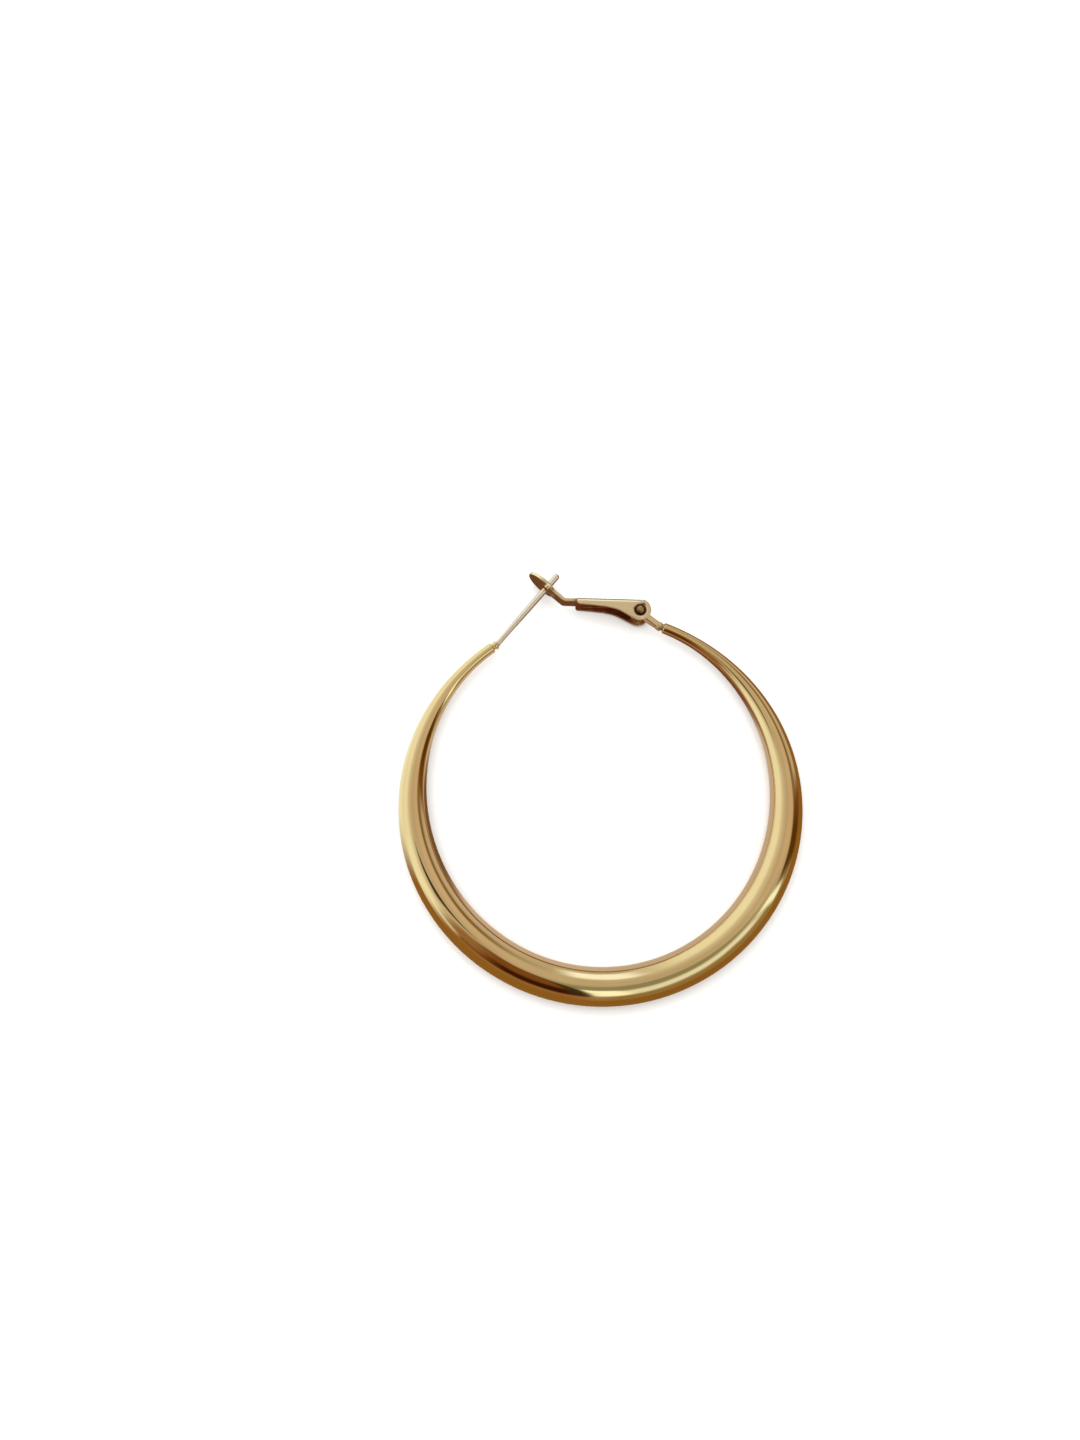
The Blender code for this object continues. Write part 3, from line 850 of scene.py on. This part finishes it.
def feed(tree, slot, value):
    """Gives an input a socket's value, or a plain number or colour."""
    if isinstance(value, bpy.types.NodeSocket):
        tree.links.new(value, slot)
    else:
        slot.default_value = (*value, 1.0) if slot.type == "RGBA" else value


def placed(tree, kind, values):
    """A node of this kind, or this node group put to use, with values on its inputs."""
    is_group = isinstance(kind, bpy.types.NodeTree)
    node = tree.nodes.new("ShaderNodeGroup" if is_group else kind)
    if is_group:
        node.node_tree = kind
    for label, value in values.items():
        feed(tree, node.inputs[label], value)
    return node


def sums(tree, operation, *operands):
    """A math node; each operand is a number or a socket."""
    node = tree.nodes.new("ShaderNodeMath")
    node.operation = operation
    for slot, value in zip(node.inputs, operands):
        feed(tree, slot, value)
    return node.outputs[0]


def spread(tree, value, low, high, to_low=0.0, to_high=1.0):
    """Stretches a value from one range to another, eased and held at both ends."""
    labels = ("Value", "From Min", "From Max", "To Min", "To Max")
    values = dict(zip(labels, (value, low, high, to_low, to_high)))
    node = placed(tree, "ShaderNodeMapRange", values)
    node.interpolation_type = "SMOOTHSTEP"
    return node.outputs["Result"]


def cloud(tree, place, scale, detail=3.0, roughness=0.5):
    """Soft noise round one half."""
    values = {"Vector": place, "Scale": scale, "Detail": detail, "Roughness": roughness}
    return placed(tree, "ShaderNodeTexNoise", values).outputs["Fac"]


def blended(tree, factor, low, high):
    """A colour between two; the node's colours are its inputs 6 and 7 and its output 2."""
    mix = placed(tree, "ShaderNodeMix", {"Factor": factor, 6: low, 7: high})
    mix.data_type = "RGBA"
    return mix.outputs[2]


def either(tree, factor, first, second):
    """The second shader where the factor is one, otherwise the first."""
    shaders = {"Fac": factor, 1: first, 2: second}
    return placed(tree, "ShaderNodeMixShader", shaders).outputs["Shader"]


def own_place(tree):
    """The shaded place in the piece's own coordinates, which are the frame's."""
    return tree.nodes.new("ShaderNodeTexCoord").outputs["Object"]


def axes(tree, vector):
    """The X, Y and Z of a vector."""
    return placed(tree, "ShaderNodeSeparateXYZ", {"Vector": vector}).outputs


def squares(tree, x, y):
    """The sum of two squares."""
    return sums(tree, "ADD", sums(tree, "MULTIPLY", x, x), sums(tree, "MULTIPLY", y, y))


def distance_along(tree, x, y, way):
    """How far a place lies along a heading in the ring's plane."""
    return sums(tree, "ADD", sums(tree, "MULTIPLY", x, way.x), sums(tree, "MULTIPLY", y, way.y))


# The buffing strokes, each lay as its turn and the scale of its hairlines
BUFFING = ((0.35, 5200.0), (1.25, 6100.0), (2.2, 4700.0))
STRETCH = (0.035, 1.0, 1.0)
HAIRLINE_DEPTH = 0.02


def polish_group():
    """Hand polishing: soft waves that bend a reflection, and fine hairlines along the strokes."""
    group, given, out = add_group(
        "polish_marks",
        {"Waves": 1.0, "Hairlines": 1.0},
        {"Height": 0.0, "Hairline Mask": 0.0},
    )
    place = own_place(group)
    waves = cloud(group, place, 260.0, 2.0, 0.45)
    total = None
    for turn, scale in BUFFING:
        turned_way = {"Vector": place, "Rotation": (0.4 * turn, 0.2, turn), "Scale": STRETCH}
        lay = placed(group, "ShaderNodeMapping", turned_way).outputs["Vector"]
        strokes = spread(group, cloud(group, lay, scale, 1.0), 0.62, 0.74)
        total = strokes if total is None else sums(group, "MAXIMUM", total, strokes)
    patches = spread(group, cloud(group, place, 900.0, 2.0), 0.42, 0.62)
    mask = sums(group, "MULTIPLY", total, patches)
    group.links.new(mask, out.inputs["Hairline Mask"])
    low = sums(group, "MULTIPLY", waves, given.outputs["Waves"])
    fine = sums(group, "MULTIPLY", mask, given.outputs["Hairlines"])
    fine = sums(group, "MULTIPLY", fine, HAIRLINE_DEPTH)
    group.links.new(sums(group, "SUBTRACT", low, fine), out.inputs["Height"])
    return group


def plating_group():
    """The plating's colour: redder and darker in the hollows, as tarnish and painted shade
    together, paler where it is rubbed.
    """
    group, given, out = add_group(
        "plating_colour",
        {
            "Clean": (0.9, 0.7, 0.35),
            "Dulled And Shaded": (0.5, 0.3, 0.12),
            "Rubbed": (0.95, 0.85, 0.6),
            "Dulling And Shade": 1.0,
            "Rubbing": 1.0,
            "Hollow Width": 0.4 * MM,
        },
        {"Colour": (0.0, 0.0, 0.0), "Hollow Mask": 0.0},
    )
    place = own_place(group)
    # Ambient occlusion darkens the hollows: partly tarnish, partly painted shade where the hollows
    # lie in shade.
    width = {"Distance": given.outputs["Hollow Width"]}
    hollow = placed(group, "ShaderNodeAmbientOcclusion", width)
    hollow.samples = 4
    hollow.only_local = True
    shut = spread(group, hollow.outputs["AO"], 0.96, 0.78)
    mottle = spread(group, cloud(group, place, 1500.0, 4.0, 0.6), 0.3, 0.7, 0.88, 1.0)
    dull_and_shade = sums(group, "MULTIPLY", shut, mottle)
    dull_and_shade = sums(group, "MULTIPLY", dull_and_shade, given.outputs["Dulling And Shade"])
    bend = group.nodes.new("ShaderNodeNewGeometry").outputs["Pointiness"]
    patches = spread(group, cloud(group, place, 2600.0, 3.0), 0.38, 0.62)
    worn = sums(group, "MULTIPLY", spread(group, bend, 0.52, 0.60), patches)
    rubbed = sums(group, "MULTIPLY", worn, given.outputs["Rubbing"])
    tint = spread(group, cloud(group, place, 110.0, 2.0), 0.3, 0.7, 0.0, 0.16)
    colour = given.outputs["Clean"]
    for amount, other in ((tint, "Dulled And Shaded"), (dull_and_shade, "Dulled And Shaded"), (rubbed, "Rubbed")):
        colour = blended(group, amount, colour, given.outputs[other])
    group.links.new(colour, out.inputs["Colour"])
    group.links.new(dull_and_shade, out.inputs["Hollow Mask"])
    return group


def seam_group():
    """Grime and painted shade in the ring-shaped seam round the rivet's head, seen along the
    hinge's axis.
    """
    group, given, out = add_group(
        "rivet_seam",
        {"Inner Radius": 0.4 * MM, "Outer Radius": 0.7 * MM},
        {"Grime And Shade": 0.0},
    )
    inner, outer = given.outputs["Inner Radius"], given.outputs["Outer Radius"]
    place = axes(group, own_place(group))
    x = sums(group, "SUBTRACT", place["X"], HINGE.x)
    y = sums(group, "SUBTRACT", place["Y"], HINGE.y)
    away = sums(group, "SQRT", squares(group, x, y))
    past = spread(group, sums(group, "SUBTRACT", away, inner), -0.07 * MM, 0.07 * MM)
    short = spread(group, sums(group, "SUBTRACT", away, outer), 0.09 * MM, -0.09 * MM)
    level = sums(group, "ABSOLUTE", sums(group, "SUBTRACT", place["Z"], TUBE_RADIUS))
    outside = spread(group, level, 1.42 * MM, 1.5 * MM)
    grime_and_shade = sums(group, "MULTIPLY", sums(group, "MULTIPLY", past, short), outside)
    group.links.new(grime_and_shade, out.inputs["Grime And Shade"])
    return group


def collar_group():
    """How much a place on the ear post belongs to its gold collar and not to the paler wire."""
    group, given, out = add_group("collar_part", {"Past The Collar": 0.1 * MM}, {"Collar": 0.0})
    place = axes(group, own_place(group))
    x = sums(group, "SUBTRACT", place["X"], POST_BASE.x)
    y = sums(group, "SUBTRACT", place["Y"], POST_BASE.y)
    along = distance_along(group, x, y, heading(POST_CAP_ANGLE))
    along = sums(group, "SUBTRACT", along, given.outputs["Past The Collar"])
    group.links.new(spread(group, along, 0.08 * MM, -0.08 * MM), out.inputs["Collar"])
    return group


POLISH = polish_group()
PLATING = plating_group()
SEAM = seam_group()
COLLAR = collar_group()
# The seam ring's colour: grime, and painted shade where the seam and the head's rim lie in shade.
GRIME_AND_SHADE = (0.135, 0.060, 0.024)
GRIME_ROUGHNESS = 0.2
HAIRLINE_ROUGHNESS = 0.08
MARK_HEIGHT = 0.04 * MM


def gold(name, colours, roughness, marks, wear_and_shade, collar=None, seam=None):
    """A plated gold finish, with a colour for the post's collar or two radii for the seam's ring of
    grime and painted shade.
    """
    material = bpy.data.materials.new(name)
    material.use_nodes = True
    tree = material.node_tree
    shader = tree.nodes["Principled BSDF"]
    shader.inputs["Metallic"].default_value = 1.0
    plating = placed(tree, PLATING, {**colours, **wear_and_shade})
    polish = placed(tree, POLISH, marks)
    colour = plating.outputs["Colour"]
    clean, dull_and_shade = roughness
    shine = sums(tree, "MULTIPLY_ADD", plating.outputs["Hollow Mask"], dull_and_shade - clean, clean)
    scratched = HAIRLINE_ROUGHNESS * marks["Hairlines"]
    shine = sums(tree, "MULTIPLY_ADD", polish.outputs["Hairline Mask"], scratched, shine)
    if collar:
        part = placed(tree, COLLAR, {})
        colour = blended(tree, part.outputs["Collar"], colour, collar)
    # A dark ring round the rivet's head: grime with painted shade.
    if seam:
        ring = placed(tree, SEAM, {"Inner Radius": seam[0], "Outer Radius": seam[1]})
        colour = blended(tree, ring.outputs["Grime And Shade"], colour, GRIME_AND_SHADE)
        shine = sums(tree, "MULTIPLY_ADD", ring.outputs["Grime And Shade"], GRIME_ROUGHNESS, shine)
    tree.links.new(colour, shader.inputs["Base Color"])
    tree.links.new(shine, shader.inputs["Roughness"])
    relief = {"Distance": MARK_HEIGHT, "Height": polish.outputs["Height"]}
    bump = placed(tree, "ShaderNodeBump", relief)
    tree.links.new(bump.outputs["Normal"], shader.inputs["Normal"])
    return material


def dress(piece, body, node, finish):
    """Hands a piece its finish and its body, and hides the node that it stands for."""
    piece.data.materials.append(finish)
    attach(piece, body)
    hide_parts(node)


# The finishes; roughness is given clean and dulled
tube_gold = gold(
    "polished_gold",
    {"Clean": (0.90, 0.70, 0.36), "Dulled And Shaded": (0.55, 0.30, 0.10), "Rubbed": (0.95, 0.82, 0.55)},
    roughness=(0.05, 0.30),
    marks={"Waves": 0.10, "Hairlines": 0.6},
    wear_and_shade={"Dulling And Shade": 0.4, "Rubbing": 0.2, "Hollow Width": 0.4 * MM},
)
# The lever's dark red hollow colour, reaching 3 mm, paints shade into its channel; its seam ring
# paints shade in the recesses round the rivet's heads.
lever_gold = gold(
    "folded_gold",
    {"Clean": (0.99, 0.86, 0.53), "Dulled And Shaded": (0.36, 0.070, 0.032), "Rubbed": (1.00, 0.96, 0.84)},
    roughness=(0.24, 0.42),
    marks={"Waves": 0.5, "Hairlines": 1.0},
    wear_and_shade={"Dulling And Shade": 1.0, "Rubbing": 1.0, "Hollow Width": 3.0 * MM},
    seam=(0.50 * MM, 0.74 * MM),
)
lug_gold = gold(
    "warm_gold",
    {"Clean": (0.96, 0.81, 0.48), "Dulled And Shaded": (0.34, 0.16, 0.05), "Rubbed": (0.94, 0.82, 0.56)},
    roughness=(0.15, 0.40),
    marks={"Waves": 0.2, "Hairlines": 0.8},
    wear_and_shade={"Dulling And Shade": 0.9, "Rubbing": 0.5, "Hollow Width": 0.6 * MM},
)
# The rivet's seam ring reaches over the rim of its head, painting shade there along with the grime.
rivet_gold = gold(
    "peened_gold",
    {"Clean": (0.47, 0.31, 0.135), "Dulled And Shaded": (0.26, 0.12, 0.04), "Rubbed": (0.92, 0.82, 0.58)},
    roughness=(0.16, 0.40),
    marks={"Waves": 0.35, "Hairlines": 1.0},
    wear_and_shade={"Dulling And Shade": 1.0, "Rubbing": 0.6, "Hollow Width": 0.5 * MM},
    seam=(0.41 * MM, 0.60 * MM),
)
post_gold = gold(
    "pale_gold",
    {"Clean": (0.93, 0.82, 0.68), "Dulled And Shaded": (0.60, 0.40, 0.24), "Rubbed": (0.97, 0.92, 0.84)},
    roughness=(0.12, 0.35),
    marks={"Waves": 0.15, "Hairlines": 0.8},
    wear_and_shade={"Dulling And Shade": 0.5, "Rubbing": 0.4, "Hollow Width": 0.4 * MM},
    collar=(0.86, 0.68, 0.38),
)

dress(make_hoop_tube(), "hoop", "hoop_tube", tube_gold)
dress(make_ear_post(), "hoop", "ear_post", post_gold)
dress(make_hinge_lug(), "hoop", "hinge_lug", lug_gold)
dress(make_hinge_pin(), "hoop", "hinge_pin", rivet_gold)
dress(make_clip_lever(), "lever", "clip_lever", lever_gold)


# The table to the eye
TABLE_HALF = 3.0
TABLE_PALE = (0.92, 0.915, 0.905)
TABLE_ROUGHNESS = 0.8

# The table as the metal sees it, a painted reflection that glows only in mirror rays: warm brown,
# pale inside the ring, bright towards the window and dark under the clasp as painted shade. Ways
# are degrees from the picture's right, and a patch fades in between the two cosines of its edge.
TABLE_BROWN = (0.29, 0.146, 0.034)
TABLE_INSIDE = (0.62, 0.54, 0.55)
LEFT_SHADE = {"way": 188.0, "edge": (0.86, 0.98), "colour": (0.20, 0.11, 0.05)}
RIGHT_SHADE = {"way": 52.0, "edge": (0.86, 0.98), "colour": (0.21, 0.085, 0.045)}
WINDOW_GLEAM = {"way": 148.0, "edge": (0.55, 0.85), "colour": (1.0, 1.1, 1.15)}
CLASP_SHADE = {
    "middle": (0.5 * MM, 27.0 * MM),
    "reach": (10.0 * MM, 6.0 * MM),
    "edge": (1.5, 0.7),
    "colour": (0.15, 0.060, 0.026),
}
PICTURE_TURN = math.radians(7.5)


def table_finish():
    """A pale table. To the metal's mirror rays it glows with a painted warm reflection instead, and
    it can be seen through from below.
    """
    material = bpy.data.materials.new("pale_table")
    material.use_nodes = True
    tree = material.node_tree
    pale = tree.nodes["Principled BSDF"]
    feed(tree, pale.inputs["Base Color"], TABLE_PALE)
    pale.inputs["Roughness"].default_value = TABLE_ROUGHNESS
    pale.inputs["Specular IOR Level"].default_value = 0.0
    place = axes(tree, own_place(tree))
    x, y = place["X"], sums(tree, "SUBTRACT", place["Y"], CENTRE.y)
    away = sums(tree, "SQRT", squares(tree, x, y))
    within = spread(tree, away, HOOP_RADIUS + TUBE_RADIUS, HOOP_RADIUS - TUBE_RADIUS)
    never_nothing = sums(tree, "MAXIMUM", away, MM)

    def patched(colour, patch):
        """The colour with a patch over it that spreads one way from the ring's middle."""
        across = distance_along(tree, x, y, heading(math.radians(patch["way"]) - PICTURE_TURN))
        cosine = sums(tree, "DIVIDE", across, never_nothing)
        return blended(tree, spread(tree, cosine, *patch["edge"]), colour, patch["colour"])

    inside = patched(patched(TABLE_INSIDE, LEFT_SHADE), RIGHT_SHADE)
    colour = blended(tree, within, patched(TABLE_BROWN, WINDOW_GLEAM), inside)
    oval = []
    for value, middle, reach in zip((x, y), CLASP_SHADE["middle"], CLASP_SHADE["reach"]):
        oval.append(sums(tree, "DIVIDE", sums(tree, "SUBTRACT", value, middle), reach))
    shade = spread(tree, squares(tree, *oval), *CLASP_SHADE["edge"])
    colour = blended(tree, shade, colour, CLASP_SHADE["colour"])
    # The painted reflection: a glow that only the metal's mirror rays see.
    warm = placed(tree, "ShaderNodeEmission", {"Color": colour})
    clear = tree.nodes.new("ShaderNodeBsdfTransparent")
    in_metal = tree.nodes.new("ShaderNodeLightPath").outputs["Is Glossy Ray"]
    from_below = tree.nodes.new("ShaderNodeNewGeometry").outputs["Backfacing"]
    face = either(tree, in_metal, pale.outputs["BSDF"], warm.outputs["Emission"])
    face = either(tree, from_below, face, clear.outputs["BSDF"])
    tree.links.new(face, tree.nodes["Material Output"].inputs["Surface"])
    return material


def make_table():
    """The plain table that the earring lies on."""
    mesh = bpy.data.meshes.new("table")
    corners = ((-1.0, -1.0), (1.0, -1.0), (1.0, 1.0), (-1.0, 1.0))
    points = [(TABLE_HALF * x, TABLE_HALF * y, 0.0) for x, y in corners]
    mesh.from_pydata(points, [], [(0, 1, 2, 3)])
    mesh.materials.append(table_finish())
    add_object("table", mesh)


# What stands round the table in the soft studio, as the metal mirrors it: pale walls, light
# panels and dark flags, each laid over the ones before it: (name, azimuth, zenith, colour).
# Azimuth is from the picture's right and zenith from straight up, both in degrees as (middle,
# half width, softness).
SURROUNDINGS = (
    ("warm wall", (160, 75, 22), (34, 14, 12), (0.68, 0.65, 0.60)),
    ("window", (157, 60, 14), (66, 25, 12), (0.96, 1.02, 1.00)),
    ("top panel", (83, 9, 4), (57, 17, 6), (1.12, 1.25, 1.50)),
    ("right shade", (36, 24, 14), (50, 10, 8), (0.22, 0.14, 0.055)),
    ("right wall", (40, 24, 12), (80, 11, 8), (0.60, 0.52, 0.52)),
    ("right glow", (34, 30, 12), (26, 14, 9), (0.66, 0.54, 0.46)),
    ("brown door", (4, 13, 5), (70, 24, 6), (0.20, 0.092, 0.022)),
    ("door shade", (-1, 10, 6), (64, 16, 8), (0.10, 0.042, 0.006)),
    ("lower wall", (-58, 48, 12), (18, 12, 7), (0.31, 0.32, 0.235)),
    ("floor wall", (-48, 38, 8), (82, 20, 9), (0.32, 0.23, 0.10)),
    ("light panel", (-56, 33, 5), (45, 11, 6), (0.88, 1.02, 1.08)),
    ("panel edge", (-80.5, 7, 3), (42, 15, 5), (1.20, 1.35, 1.40)),
    ("panel streak", (-17, 3.5, 2.5), (56, 19, 6), (1.10, 1.30, 1.40)),
    ("dark flag", (-114, 26, 2.5), (39, 33, 5), (0.21, 0.080, 0.020)),
    ("flag side", (-140, 10, 8), (36, 22, 10), (0.32, 0.18, 0.080)),
    ("flag foot", (-118, 34, 12), (85, 14, 7), (0.31, 0.15, 0.042)),
    ("flag fold", (-107, 18, 7), (51, 13, 7), (0.045, 0.010, 0.003)),
    ("flag edge", (-91.5, 3.5, 2.5), (38, 24, 7), (0.05, 0.030, 0.014)),
    ("small flag", (181, 15, 6), (14, 11, 4), (0.06, 0.032, 0.010)),
)
CEILING = (0.54, 0.50, 0.42)
BACKDROP = (1.0, 0.998, 0.995)
WALL_RIPPLE = 10.0

# The soft light over the table
SOFTBOX_PLACE = Vector((-0.15, 0.2, 0.8))
SOFTBOX_SIZE = 0.9
SOFTBOX_POWER = 5.0
SOFTBOX_COLOUR = (1.0, 0.995, 0.985)

SIDEWAYS = ("Azimuth", "Middle Azimuth", "Half Width", "Side Softness")
UPWARDS = ("Zenith", "Middle Zenith", "Half Height", "Top Softness")


def sector_group():
    """How much a direction lies in a soft-edged part of the surroundings."""
    inputs = dict.fromkeys(SIDEWAYS + UPWARDS, 0.0)
    group, given, out = add_group("part_of_the_room", inputs, {"Mask": 0.0})
    masks = []
    for labels in (SIDEWAYS, UPWARDS):
        value, middle, half, soft = (given.outputs[label] for label in labels)
        away = sums(group, "SUBTRACT", value, middle)
        if labels == SIDEWAYS:
            away = sums(group, "WRAP", away, 180.0, -180.0)
        away = sums(group, "ABSOLUTE", away)
        inner, outer = sums(group, "SUBTRACT", half, soft), sums(group, "ADD", half, soft)
        masks.append(spread(group, away, inner, outer, 1.0, 0.0))
    group.links.new(sums(group, "MULTIPLY", *masks), out.inputs["Mask"])
    return group


def light_room():
    """The soft warm room that the metal mirrors. The eye sees a plain pale backdrop instead."""
    world = bpy.data.worlds.new("room")
    bpy.context.scene.world = world
    world.use_nodes = True
    tree = world.node_tree
    looking = tree.nodes.new("ShaderNodeTexCoord").outputs["Generated"]
    turn = placed(tree, "ShaderNodeVectorRotate", {"Vector": looking, "Angle": PICTURE_TURN})
    turn.rotation_type = "Z_AXIS"
    unit = placed(tree, "ShaderNodeVectorMath", {"Vector": turn.outputs["Vector"]})
    unit.operation = "NORMALIZE"
    way = axes(tree, unit.outputs["Vector"])
    azimuth = sums(tree, "DEGREES", sums(tree, "ARCTAN2", way["Y"], way["X"]))
    zenith = sums(tree, "DEGREES", sums(tree, "ARCCOSINE", way["Z"]))
    ripple = cloud(tree, unit.outputs["Vector"], 5.0, 2.0)
    ripple = sums(tree, "MULTIPLY_ADD", ripple, WALL_RIPPLE, -WALL_RIPPLE / 2.0)
    zenith = sums(tree, "ADD", zenith, ripple)
    group = sector_group()
    colour = CEILING
    for name, sideways, upwards, shade in SURROUNDINGS:
        values = (azimuth, *sideways, zenith, *upwards)
        mask = placed(tree, group, dict(zip(SIDEWAYS + UPWARDS, values)))
        mask.label = name
        colour = blended(tree, mask.outputs["Mask"], colour, shade)
    mirrored = tree.nodes["Background"]
    tree.links.new(colour, mirrored.inputs["Color"])
    seen = placed(tree, "ShaderNodeBackground", {"Color": BACKDROP})
    in_metal = tree.nodes.new("ShaderNodeLightPath").outputs["Is Glossy Ray"]
    room = either(tree, in_metal, seen.outputs["Background"], mirrored.outputs["Background"])
    tree.links.new(room, tree.nodes["World Output"].inputs["Surface"])
    world.cycles.sampling_method = "NONE"

    softbox = bpy.data.lights.new("table_light", "AREA")
    softbox.shape = "DISK"
    softbox.size = SOFTBOX_SIZE
    softbox.energy = SOFTBOX_POWER
    softbox.color = SOFTBOX_COLOUR
    lamp = add_object("table_light", softbox)
    lamp.location = SOFTBOX_PLACE
    lamp.rotation_euler = SOFTBOX_PLACE.to_track_quat("Z", "Y").to_euler()
    lamp.visible_glossy = False
    lamp.visible_camera = False


# The camera: its place from the ring's middle, and its small turns about Z, Y and X in degrees
CAMERA_LENS = 42.124
CAMERA_PLACE = Vector((-19.785, -30.776, 206.735)) * MM
CAMERA_LEAN = ((0.0056, "Z"), (-3.39144, "Y"), (11.0623, "X"))


def set_camera():
    """The photograph's view: from above, leaning in from the lower left."""
    data = bpy.data.cameras.new("camera")
    data.lens = CAMERA_LENS
    data.clip_start = MM
    camera = add_object("camera", data)
    stand = Matrix.Translation(CENTRE) @ Matrix.Rotation(-PICTURE_TURN, 4, "Z")
    stand = stand @ Matrix.Translation(CAMERA_PLACE)
    for degrees, axis in CAMERA_LEAN:
        stand = stand @ Matrix.Rotation(math.radians(degrees), 4, axis)
    camera.matrix_world = stand
    bpy.context.scene.camera = camera


make_table()
light_room()
set_camera()
scene = bpy.context.scene
scene.view_settings.view_transform = "Standard"
scene.cycles.max_bounces = 12
scene.cycles.glossy_bounces = 8
